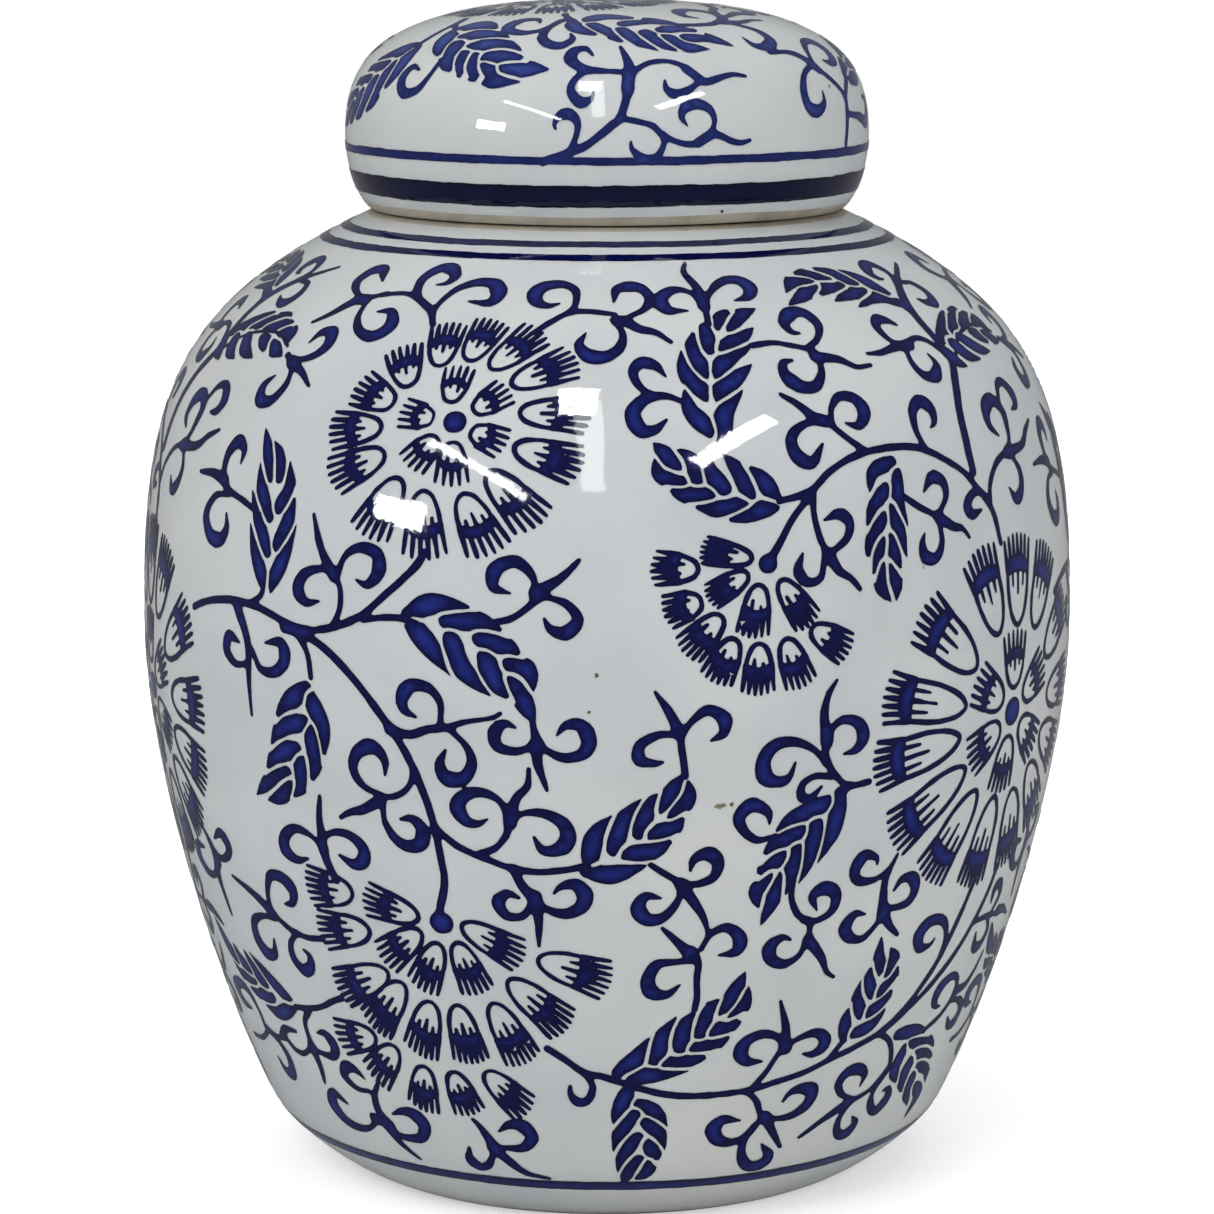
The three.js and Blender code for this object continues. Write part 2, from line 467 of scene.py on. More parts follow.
class Painter:
    """Draws motifs on a canvas at one or more places. weight scales all strokes but lobes."""

    def __init__(self, canvas, moves, weight=1.0):
        self.canvas = canvas
        self.moves = moves
        self.weight = weight

    def draw(self, points, width, blend=0.9):
        """width is a number, or a function of how far along the stroke a point is."""
        for move in self.moves:
            path, along = smooth_path(move(np.array(points, float)))
            widths = width(along) if callable(width) else np.full(len(along), float(width))
            self.canvas.stroke(path, widths * (1.0 if blend is None else self.weight), blend)

    def stem(self, *points, w=1.4):
        self.draw(points, w)

    def curl(self, *points, root=1.3, fat=None, tip=0.6):
        """A scroll that starts thin, swells round its turn and ends in a thin tip."""
        p = np.array(points, float)
        length = np.hypot(*np.diff(p, axis=0).T).sum()
        fat = fat or min(3.6, max(2.6, 1.9 + 0.07 * length))

        def width(t):
            return np.interp(t, [0, 0.15, 0.45, 0.68, 0.85, 1],
                             [root, root + 0.1, 0.74 * fat, fat, 0.6 * fat, tip])

        self.draw(points, width)

    def spur(self, *points, base=2.7, tip=0.9):
        """A flame that tapers from its base."""
        widths = [base, 0.85 * base, 0.62 * base, tip]
        self.draw(points, lambda t: np.interp(t, [0, 0.25, 0.6, 1], widths))

    def blob(self, spot, radius):
        self.draw([spot, (spot[0] + 0.2, spot[1])], 2 * radius)

    def lobe(self, *points, w=3.0):
        """One lobe of a leaf: blunt where it leaves the midrib, pointed at its tip."""
        places = [0, 0.15, 0.36, 0.6, 0.82, 1]
        widths = [0.95, 1.2, 1.25, 1.0, 0.56, 0.1]
        self.draw(points, lambda t: w * np.interp(t, places, widths), blend=None)

    def lobes(self, *rows, w=3.0):
        for row in rows:
            self.lobe(*row, w=w)

    def petal(self, tip, end, spread, fringe=6, line=1.0, cap=2.6, fingers=None, fan=1.25):
        """A petal from its inner tip to its fringed end. spread is its width at the dark cap.

        line is the width of its outline and cap that of the cap. fringe hairs, fanned out by fan,
        stand on the cap, and a few fingers reach down from it into the petal.
        """
        tip = np.array(tip, float)
        end = np.array(end, float)
        axis = end - tip
        length = np.hypot(*axis)
        axis = axis / length
        side = np.array([axis[1], -axis[0]])
        long_petal = 16
        hair = 0.33 * length if length < long_petal else 5.4
        brow = length - hair - 0.3

        def at(a, b):
            return tip + axis * a + side * b

        half = (spread - line) / 2
        fingers = fingers or (2 if spread < 6.5 else 3)
        crown = [at(brow - 2.2, -half), at(brow - 0.9, -half * 0.62), at(brow - 0.5, 0),
                 at(brow - 0.9, half * 0.62), at(brow - 2.2, half)]
        self.draw(crown, lambda t: line + (cap - line) * np.sin(math.pi * t) ** 0.5, 0)
        flank = ((brow - 2.2, half), (brow * 0.5, half * 0.9), (brow * 0.18, half * 0.55))
        outline = [at(a, -b) for a, b in flank] + [at(0.5, 0)] + [at(a, b) for a, b in flank[::-1]]
        self.draw(outline, line, 0)
        taper = ([0, 0.85, 1], [1.25, 0.95, 0.75])
        for i in range(fringe):
            b = i / (fringe - 1) * 2 - 1
            start = at(brow - 0.5 - 1.6 * b * b, b * half)
            stop = at(brow + hair * (1 - 0.25 * b * b), b * half * fan)
            self.draw([start, stop], lambda t: line * np.interp(t, *taper), 0)
        for i in range(fingers):
            b = (i - (fingers - 1) / 2) * spread / (fingers + 1)
            reach = brow * (0.48 if i == fingers // 2 else 0.36)
            self.draw([at(brow - 0.6, b), at(brow - reach, b * 0.85)],
                      lambda t: np.interp(t, [0, 1], [1.3, 0.7]), 0)

    def ring_of_petals(self, centre, angles, near, far, spread, **more):
        """Petals round a centre, from near to far: each one number, or one for each petal."""
        near, far, spread = (np.broadcast_to(v, len(angles)) for v in (near, far, spread))
        for i, angle in enumerate(angles):
            a = math.radians(angle)
            way = np.array([math.cos(a), math.sin(a)])
            self.petal(centre + way * near[i], centre + way * far[i], spread[i], **more)


def front_width(s):
    """How wide one repeat of the body's pattern is on the front, in u."""
    return np.interp(s, [110, 215], [232, 207])


def repeat(k):
    """The move to one repeat. Those at the back share what the front one leaves."""
    def move(p):
        if k == 0:
            return p
        wide = front_width(p[:, 1])
        back = (TURN - wide) / (REPEATS - 1)
        u = SEAM + (p[:, 0] - SEAM + wide) * back / wide + (k - 1) * back
        return np.stack([u, p[:, 1]], 1)

    return move


def keep_shape(move, centre, widen=1.0):
    """The same move, taken at the motif's centre so that it keeps its shape, and widened."""
    centre = np.array(centre, float)

    def shifted(p):
        return move(centre[None])[0] + (p - centre) * [widen, 1]

    return shifted


def motif_painter(canvas, centre, front=1.0, back=1.0):
    """A painter for one motif, widened by those numbers on the front and back repeats."""
    wider = [front] + [back] * (REPEATS - 1)
    return Painter(canvas, [keep_shape(repeat(k), centre, w) for k, w in enumerate(wider)])


# ---------------------------------------------------------------- the body's pattern, in (u, s)

def round_flowers(canvas):
    """The full round flower high on the front, and the big one at the end of the repeat."""
    centre = np.array([-33.0, 184.0])
    p = motif_painter(canvas, centre, 1.2, 1.2)
    p.blob(centre, 2.3)
    for tip, end in (((-1.5, 3.6), (-1, 12.4)), ((3, 2), (9.3, 7.4)), ((3, -1.4), (10, -4.4)),
                     ((0.2, -3.6), (0.8, -13)), ((-2.7, -2.9), (-7.6, -9.6)),
                     ((-3.7, 0.4), (-11.2, 1.5))):
        p.petal(centre + tip, centre + end, 5.6, fringe=5, cap=1.7, line=0.85, fingers=2)
    for tip, end in (((0, 13), (3.2, 24.2)), ((-5.4, 11.4), (-6.6, 22.9)),
                     ((-10.3, 6.6), (-15, 16.3)), ((-12.3, 2.9), (-22, 6.4)),
                     ((-13.6, -1.8), (-25.2, -3.6)), ((-12.1, -6.8), (-23.1, -13.2)),
                     ((-8.7, -11.4), (-14.4, -24)), ((-4.2, -13.5), (-3.2, -27.6)),
                     ((2.7, -13.8), (8.4, -26)), ((6.9, -9.4), (16.2, -20)),
                     ((10.9, -4.4), (23.4, -8.4)), ((11.3, 2.4), (24.7, 2.2)),
                     ((9.2, 8.2), (21.7, 14.3)), ((4.6, 11.5), (13.8, 21.6))):
        p.petal(centre + tip, centre + end, 7.0, fan=1.3)
    centre = np.array([99.0, 118.8])
    p = motif_painter(canvas, centre, back=0.89)
    p.blob(centre, 3)
    p.ring_of_petals(centre, (90, 150, 208, 265, 325, 28), 4.6, 17.3, 8.6, line=1.1)
    angles = (2, 32, 62, 87, 111, 142, 168, 188, 211, 235, 261, 287, 312, 337)
    near = (18, 17.5, 18, 17.5, 18, 18, 17.5, 18.5, 18, 18, 17.5, 18, 18, 18)
    far = (37, 37, 37, 37, 38, 40, 42, 43, 42, 40, 38, 37, 37, 37)
    spread = (10.2, 10.2, 10.2, 10, 10.2, 10.6, 9.6, 9.6, 10.2, 10.2, 10, 10, 10, 10)
    p.ring_of_petals(centre, angles, near, far, spread, line=1.2, fringe=7, cap=3.8)


def fan_flowers(canvas):
    """The two half flowers that hang from their stems like fans."""
    centre = np.array([32.2, 156.0])
    p = motif_painter(canvas, centre)
    p.blob(centre, 1.9)
    p.petal((29.5, 157), (18.3, 159.5), 5.2)
    p.petal((28.5, 154.5), (19.6, 149.6), 5.2)
    p.petal((30.5, 152.5), (28.7, 141.5), 6.2)
    p.petal((34.5, 153), (41.3, 143.3), 6)
    for tip, end in (((18.5, 155.5), (8.5, 156)), ((19, 149.5), (11, 147.0)),
                     ((23, 146.5), (15, 139)), ((25.5, 142), (21, 133)), ((30.2, 141), (30, 130)),
                     ((35.5, 141.5), (39.5, 131)), ((41, 143), (50, 137.5))):
        p.petal(tip, end, 6.3)
    centre = np.array([-36.3, 81.8])
    p = motif_painter(canvas, centre, back=0.89)
    p.blob(centre, 2.5)
    for tip, end in (((-41, 82.3), (-55, 85.5)), ((-41, 79.5), (-52.5, 71.5)),
                     ((-37, 77.3), (-43.5, 65.5)), ((-33.5, 78), (-29, 66)),
                     ((-32, 81.8), (-18, 75))):
        p.petal(tip, end, 7.2)
    for tip, end in (((-57, 86), (-70.5, 86)), ((-54, 78), (-69.5, 76)), ((-51, 69), (-67.5, 62.5)),
                     ((-47.5, 67), (-59, 54.5)), ((-41, 63.5), (-47, 49.5)), ((-35, 63.5), (-33, 49)),
                     ((-26.5, 64.5), (-19.5, 50)), ((-22.5, 70), (-9, 59)), ((-15.5, 75), (1, 70))):
        p.petal(tip, end, 8.2, fringe=7)
    for tip, end in (((-58.5, 52.5), (-72, 50.5)), ((-53, 51), (-63, 41.5)),
                     ((-46, 47.5), (-49.5, 35.5)), ((-39, 47), (-35.5, 36)),
                     ((-30.5, 47.5), (-20, 38))):
        p.petal(tip, end, 7.8)


def body_stems(p):
    """The long stems that carry the flowers and leaves."""
    p.stem((-101, 140.5), (-95, 142.5), (-87, 143.8), (-79, 143.6), (-72, 142), (-66, 140.2),
           (-60, 141), (-55, 142.5), (-50, 145), (-46.5, 148), (-42, 152), (-38.5, 155.5), (-37, 158),
           w=1.6)
    p.stem((-50, 143.8), (-46, 144.6), (-42, 144.8), (-38.5, 144))
    p.stem((-70, 140.3), (-64, 140), w=2.6)
    p.stem((-66, 140), (-60, 137.5), (-55, 134), (-50, 129.3), (-46, 124.7), (-42, 119.5),
           (-39.3, 114), (-37, 108), (-35.8, 103), (-35, 97), (-34.5, 91), (-36, 85.5), (-36.5, 83),
           w=1.7)
    p.stem((-35.5, 102.5), (-31, 99), (-26, 97), (-20, 95), (-14, 94.3), (-8, 95), (-4, 96), w=1.5)
    p.stem((-67, 140), (-64, 136), (-63, 131))
    p.stem((-14, 54), (-10, 51.5), (-5.5, 48.5), (-1, 47.5), (2, 46.5), (8, 44.5), (15, 42.7),
           (22, 42), (30, 42), (37, 42.5), (44, 43.7), (51, 45), (58, 47.2), (65, 49), (73, 51.5),
           (79, 55.5), (84, 60.5), (88, 66), (91, 72), (93.5, 78), (95, 82.5), w=1.6)
    p.stem((73, 51.5), (80, 55), (88, 60), (95, 66), (100, 72), (103.5, 78), (105.5, 84), w=1.6)
    p.stem((89.5, 209), (91.5, 207), (91.5, 203), (92.8, 197), (93, 193), (90, 188), (87.5, 182),
           (86.8, 175), (87, 170), w=2.3)
    p.stem((35.5, 168.2), (39, 168.7), (43, 170), (47, 173), (52, 175.3), (57, 176.5), (64, 177),
           (70, 176.5), (74, 175.3), (79, 173), (84, 170), (87, 167), (90.5, 163.5), (92.5, 160),
           (94, 154.5), w=1.5)
    p.stem((-66, 213.5), (-60, 214.3), (-54, 213), (-48, 209.5), (-45.5, 206))
    p.stem((-18, 205), (-14, 208), (-9.5, 210.5), (-4, 210.8), (2, 210))
    p.stem((42, 168.5), (38, 164.5), (35, 160), (33, 157), w=1.5)


def upper_sprigs(p):
    """Scrolls and spurs round the shoulder."""
    stem, curl, spur = p.stem, p.curl, p.spur
    stem((-85, 195.5), (-81, 193.5))
    spur((-82, 194), (-77, 192), (-73, 189.3))
    curl((-83, 194.5), (-77, 195.5), (-73.5, 198.5), (-74.5, 202), (-78, 201.8), (-80, 199))
    curl((-81.5, 194), (-80.3, 189.5), (-83, 185.3), (-87, 185), (-88, 188), (-85.5, 190.5))
    spur((-75, 211), (-80, 206.5), (-84, 204))
    curl((-73, 211.5), (-78, 214), (-81, 217), (-79, 220.5), (-75, 221), (-71.3, 217.5))
    p.blob((-72, 211.5), 1.6)
    stem((-74, 212), (-70, 212.5), (-66, 213.8))
    curl((-70.5, 211), (-69.5, 206.5), (-66, 203), (-61, 202), (-57.7, 205), (-60, 208.8),
         (-64.5, 208.5))
    curl((-49, 210.5), (-54, 213), (-57, 216.5), (-57.3, 220), (-54, 223), (-50, 222.8),
         (-47.3, 220.5), (-48.5, 218.3), (-51.5, 217.5))
    curl((-47.5, 209), (-46.5, 213), (-43.5, 217), (-38, 219), (-33, 218.5), (-30.8, 215.5),
         (-32.5, 212.8), (-38.5, 213))
    curl((-10, 210.5), (-8.5, 213), (-9, 217), (-13, 219), (-18, 218.3), (-20.3, 216), (-19, 213.3),
         (-16, 212.3), (-13, 213))
    curl((1.5, 208.5), (3.8, 205), (3, 201.3), (-0.5, 199), (-4.5, 199.3), (-6.7, 202), (-5.2, 205))
    spur((4, 208.5), (8, 206), (12, 205), (15.5, 202.5))
    curl((6, 209.5), (10, 211.5), (11.8, 214.5), (10, 217.5), (6.5, 218.3), (2.8, 217.3),
         (1.8, 213.5))
    spur((26.3, 212), (26, 218), (23.8, 222.5), (25.3, 226))
    curl((26, 213.5), (23, 216.5), (18.5, 217), (14.8, 214.5), (16, 211.2), (21.5, 210.8))
    curl((27, 213.5), (30.5, 217), (35, 219.5), (40, 219.5), (42, 217), (40, 214.3), (35.5, 213.3))
    stem((26.3, 212), (26.3, 210), (26, 207))
    curl((10, 190), (7, 192.5), (6, 195.5), (8, 197.5), (11, 196.8), (13.3, 194.3))
    curl((17.5, 188.3), (13, 190), (8.5, 189.5), (5.5, 186.5), (7, 183), (10, 183), (12.7, 185))
    stem((35.5, 201), (41, 201.5), (46, 200.5), (50, 199.5))
    curl((50.5, 200), (54, 202), (56, 205.5), (54, 208.8), (50, 209), (46.5, 206.5), (47.3, 204),
         (49.5, 203.5))
    curl((51, 199), (51.3, 194.5), (48.5, 191), (44.5, 191), (41.5, 194), (42, 196.5), (44.5, 197))
    spur((51, 197.5), (57, 196.5), (61, 194.5), (65.3, 194.6))
    stem((56.5, 177), (52.5, 180), (49, 183), (46.5, 184))
    spur((48, 183.5), (45.5, 184.5), (43, 187), (39.2, 189.5))
    curl((50, 183), (50.7, 186), (53.5, 188.3), (57.5, 187.5), (58.8, 184.5), (56.5, 182),
         (53.3, 182.7))
    curl((48, 183.5), (43, 183), (39.7, 180.5), (40.2, 177), (43.5, 175.3), (46.7, 178.8))
    spur((91.5, 207.5), (94, 211), (98, 214.5), (103, 217), (110.5, 220.3))
    curl((97.5, 214.5), (99.3, 218), (97, 221), (93, 221.5), (90.3, 219), (91.5, 216.8),
         (93.5, 216.4))
    curl((101, 214.5), (105, 214), (107.5, 211), (106, 208), (102.5, 207.8), (99.3, 209.3))
    stem((91.5, 196), (88, 199), (84, 199.7), (80, 198.5))
    spur((81, 198.3), (75, 198), (70, 197.2), (66, 197.3))
    curl((78.5, 198.5), (75.5, 200), (74, 203.5), (76, 205.5), (79, 205), (81.5, 203.5))
    curl((79, 198), (78.5, 194), (80.5, 191), (84, 190.5), (86.7, 193), (85.7, 195.6))
    curl((73, 176.3), (71.8, 180), (72.5, 184), (75.5, 185.7), (78.3, 183.8), (78, 181), (76.3, 180))
    stem((91.5, 163.5), (92.5, 167), (96, 170.5), (100, 172), (104, 172.5))
    spur((102, 172.2), (110, 173), (114, 175.5), (118, 177.3))
    curl((103.5, 171.5), (106, 168), (105.5, 164.5), (102.5, 162.5), (99.8, 165.2))
    curl((101, 172), (104, 174.5), (105, 178), (105, 181), (102, 183.5), (98, 182), (97.2, 178.5),
         (100, 176))
    curl((105, 182.5), (107.5, 186), (111, 186.5), (113.8, 183.5), (112.8, 181), (110, 180.5))
    stem((65, 167), (69, 164.5), (73, 162.5))
    spur((74, 162), (78, 159.8), (81, 159), (83, 157))
    curl((74.5, 163), (77, 166), (76.5, 169), (73.5, 170), (70.6, 167.4))
    curl((74, 161), (74.5, 157), (72.5, 154), (69.5, 154.5), (68.8, 157), (69.7, 159.2))
    curl((90.5, 163.5), (88.5, 165.5), (85.5, 165.5), (83.3, 163.5), (84.5, 161.5), (88, 162))


def middle_sprigs(p):
    """Scrolls and spurs round the belly."""
    stem, curl, spur = p.stem, p.curl, p.spur
    stem((-79, 162), (-84, 164), (-89, 165.5), (-92, 167))
    curl((-91, 165.5), (-93, 169), (-92.8, 173), (-90, 175.8), (-87.3, 174.5), (-87.5, 171.5))
    spur((-92, 167.5), (-97, 168.5), (-103, 168.2))
    curl((-90, 165), (-95, 164), (-97.8, 160), (-95.5, 156), (-91.5, 155.5), (-89.5, 158), (-90, 161))
    spur((-84.5, 143), (-81, 136), (-80.7, 128), (-80.3, 121))
    curl((-81, 131.5), (-85, 131), (-88, 133.5), (-87, 136.5), (-83.5, 135.5))
    curl((-79.5, 134.5), (-77, 131), (-73, 130.8), (-70, 133.5), (-71, 137), (-75.5, 136.5))
    stem((-57, 142.5), (-55.7, 146), (-56, 150), (-58, 152.5))
    curl((-57, 152.5), (-61, 153), (-65, 151.5), (-66.5, 148.5), (-64.5, 146), (-61, 146.5))
    spur((-57.5, 152), (-61, 157), (-63.5, 163.5))
    curl((-56.5, 152.5), (-55, 156), (-51.5, 158), (-47.5, 157), (-47, 153.5), (-49.5, 150.8),
         (-52, 151.5))
    stem((-15, 128), (-14.3, 124), (-13.5, 120))
    spur((-14, 121), (-13.5, 116.5), (-11.9, 111.7))
    curl((-14.8, 120.5), (-18, 119.5), (-21.5, 120.3), (-22.3, 123), (-20.2, 125), (-18, 124.3))
    curl((-14, 123), (-12, 120), (-8.5, 118.5), (-4.8, 119.3), (-3.5, 122), (-5, 125), (-8, 125),
         (-9.8, 123))
    stem((-23, 144.8), (-18.5, 146), (-14.5, 149), (-12.5, 150.5))
    curl((-14.5, 150), (-14.5, 154), (-18, 157), (-22, 155.5), (-22.5, 152), (-19, 150.8))
    spur((-14, 151), (-9, 154), (-5.5, 157.5))
    curl((-12.5, 150.5), (-8, 149), (-5.7, 146), (-8, 143.3), (-11, 144), (-12.3, 146))
    stem((43, 169), (42.8, 165), (44, 160), (45.5, 157))
    spur((45.5, 157), (48, 153.5), (50.5, 152), (52.5, 149.7))
    curl((46.5, 157.5), (50, 160), (50.8, 163), (48.5, 164.8), (45, 163.8))
    curl((44.5, 156), (43.5, 152.5), (40.5, 152), (38.7, 154.5), (39.8, 157.6))
    spur((14, 124), (12, 127.8), (9.4, 131.6))
    curl((14, 123), (10, 123), (6.5, 121), (6.5, 118), (9.5, 117.3), (11, 117.5))
    curl((14.5, 123), (17, 126), (20, 127.8), (23, 126), (23, 123), (20.5, 121.5))
    stem((14.3, 123), (15, 118), (15.5, 114.5))
    spur((45, 120), (44.3, 125), (45, 129), (47, 132))
    curl((45.5, 119), (46, 122), (48.5, 123.8), (52, 123), (53.5, 120), (52, 117.5), (49.1, 116.8))
    curl((45, 115.5), (42, 118.5), (38, 120.3), (34, 120), (31.5, 117), (32, 113.5), (34.5, 112.3),
         (37, 113), (38.3, 116))
    curl((46.5, 112.3), (43, 112.8), (40.3, 111.5), (40, 109), (42, 108.2), (44.5, 110.5), fat=2.4)
    stem((44.8, 121), (45.3, 116), (48, 112), (51, 110), (55.8, 110.3))
    stem((51, 110), (49.5, 108))
    spur((-44.5, 122.3), (-40, 121.6), (-36, 123), (-32.5, 123.5), (-28, 125), (-23, 126), (-21, 127),
         base=2.2)
    curl((-33.3, 124.5), (-33.3, 128.5), (-35.8, 131.3), (-39.5, 131.5), (-41.5, 129), (-41, 126.5),
         (-38.5, 125.3))
    curl((-31, 123), (-28, 120), (-27, 116.5), (-29, 113.3), (-32.5, 113.3), (-33.8, 116),
         (-32.4, 119))
    stem((-39.5, 114), (-41, 110.5), (-44, 108.5), (-47, 108))
    curl((-47.5, 108.5), (-51.5, 110), (-53.5, 113.5), (-52, 117), (-48.5, 118.3), (-46, 116),
         (-46, 112.8))
    spur((-48, 107), (-52, 104.8), (-55, 104), (-57.8, 102.5))
    curl((-47, 107), (-47, 103), (-45, 99.5), (-42, 98), (-39, 99), (-38.5, 102), (-40.5, 104),
         (-43.3, 103.7))


def lower_sprigs(p):
    """Scrolls and spurs below the belly."""
    stem, curl, spur = p.stem, p.curl, p.spur
    stem((9, 96), (12, 94), (15, 92))
    curl((15, 92), (19, 91.5), (22.3, 93), (23, 96), (20.8, 98), (18, 97), (17.2, 94.5))
    curl((15.5, 92), (14.8, 88), (12, 84.5), (8.5, 84), (6.5, 86.5), (8, 89.2), (11.3, 88.7))
    spur((15.5, 91.5), (18, 88), (20.5, 84), (21.8, 80.5))
    spur((18, 76), (15, 79), (11.8, 82))
    curl((20.5, 77), (22.5, 80.3), (26, 81.5), (29, 79), (28.5, 76), (24.5, 75.3))
    curl((19, 74.5), (15, 74.3), (11, 73.8), (9, 70.5), (10, 67.5), (13.3, 66.8), (16.2, 69))
    stem((18.5, 77), (20, 74), (20, 70), (20.3, 66), (20, 63))
    curl((35, 100.8), (31, 100.3), (28, 102.5), (27, 105.5), (29.5, 107.8), (33, 106), (33.5, 103.5))
    stem((40, 92), (40, 87), (42, 83), (45, 81), (45.5, 77))
    curl((43.5, 81.5), (47, 81.2), (50.3, 83), (50.8, 86.5), (48, 88.3), (45, 86.8), (46.5, 83.5))
    spur((45.5, 77), (49.5, 72.5), (51.5, 69), (53.7, 67.5))
    curl((45, 77), (43.5, 73.5), (40, 72), (36.8, 73.5), (36.3, 76.5), (39, 78.2), (41, 77.5))
    spur((64.3, 80), (63.5, 88), (65.8, 93.4))
    curl((64.5, 82), (67, 81.3), (71.5, 81.8), (73, 84.5), (71.5, 87.3), (68.5, 87.5), (66.5, 85.3))
    curl((64, 90), (60, 88.5), (56, 89), (54.8, 91.5), (56.8, 94.3), (60, 93.5), (60.5, 92))
    curl((64, 79), (60, 75.5), (56.5, 76), (54.5, 78.5), (56.5, 81.3), (59.5, 81))
    spur((64.5, 81), (67, 77.5), (70.3, 74.7))
    spur((-19.5, 104.5), (-18.3, 109.5), (-15.8, 112.5), (-15.5, 115.9))
    curl((-20, 105.5), (-21.5, 109), (-25, 110.7), (-28.5, 110), (-30.5, 107.5), (-29, 104.7),
         (-26.5, 104), (-24.2, 105.2))
    curl((-19.5, 105), (-16.5, 106.8), (-12.5, 106.8), (-9, 105), (-7.8, 102), (-9.5, 99.5),
         (-13, 99), (-14.8, 101.8))
    stem((-20, 105.5), (-20.5, 102), (-23, 99), (-26, 98))
    spur((-63.5, 95), (-63.5, 101.5), (-62.7, 106.4))
    curl((-63, 97.5), (-60, 99), (-56, 98.8), (-53, 96.3), (-53.5, 93.5), (-56, 92.5), (-59.4, 94.1))
    curl((-64, 95.5), (-67, 97.5), (-71, 98.3), (-74.5, 96), (-75, 93), (-72, 91.3), (-68.5, 92))
    stem((-64, 96), (-63, 92), (-61.5, 88.5), w=2.2)
    stem((-19.5, 94.8), (-17.5, 91), (-15, 88), w=2)
    spur((-15, 89), (-14.5, 84), (-14.7, 78))
    curl((-15.5, 87.5), (-18, 84.5), (-21.5, 84.5), (-23, 87.3), (-21, 89.3), (-18.5, 88.5))
    curl((-16.5, 90), (-13, 86.5), (-9, 85.3), (-5.5, 86.8), (-4.5, 89.5), (-6.5, 91.8), (-9.5, 91.3),
         (-11, 89.8))
    stem((-68.5, 74), (-74, 73.5), (-79, 74.5), (-83, 76.5), (-86, 78))
    spur((-84, 77), (-88, 79.5), (-92, 81.2), (-98, 83))
    curl((-84.5, 78), (-84.3, 82), (-82, 86), (-78, 86.3), (-75.3, 84), (-76, 81), (-78.8, 80.2))
    curl((-84, 76), (-89, 75.7), (-93, 73.5), (-93.5, 69.5), (-91, 66.8), (-87.5, 67.3), (-86.2, 71))
    curl((-77, 73.8), (-80, 71), (-80.3, 67.5), (-77.5, 65.2), (-74.8, 66.5), (-74.3, 69),
         (-76, 70.3))
    spur((-104, 85), (-106, 89), (-109, 92.5))
    curl((-104.5, 87), (-101, 86.3), (-97.5, 88), (-97, 90.5), (-99.5, 92.3), (-103, 90.5))
    curl((-105.5, 84), (-108, 81.3), (-112, 81.3), (-115.3, 84), (-114.5, 87), (-110.5, 87))
    spur((-104.5, 86), (-105.5, 81), (-104, 73))
    stem((-85, 55.2), (-80, 55.8), (-75, 57), (-70, 59.3), (-66.8, 60.5))
    curl((88.5, 66.5), (88.5, 71), (86, 75), (81, 76), (77.8, 73.5), (79, 70.3), (82.5, 70),
         (84, 71.3))
    stem((101, 72), (107, 72), (112, 71.5), (118, 71.5))
    spur((114, 71.8), (119, 71), (124, 69))
    curl((108, 71.5), (110.3, 68), (108, 65), (104.5, 65.5), (103.3, 69))
    curl((110, 73), (112, 76), (110, 79), (107.5, 78), (107.5, 75))


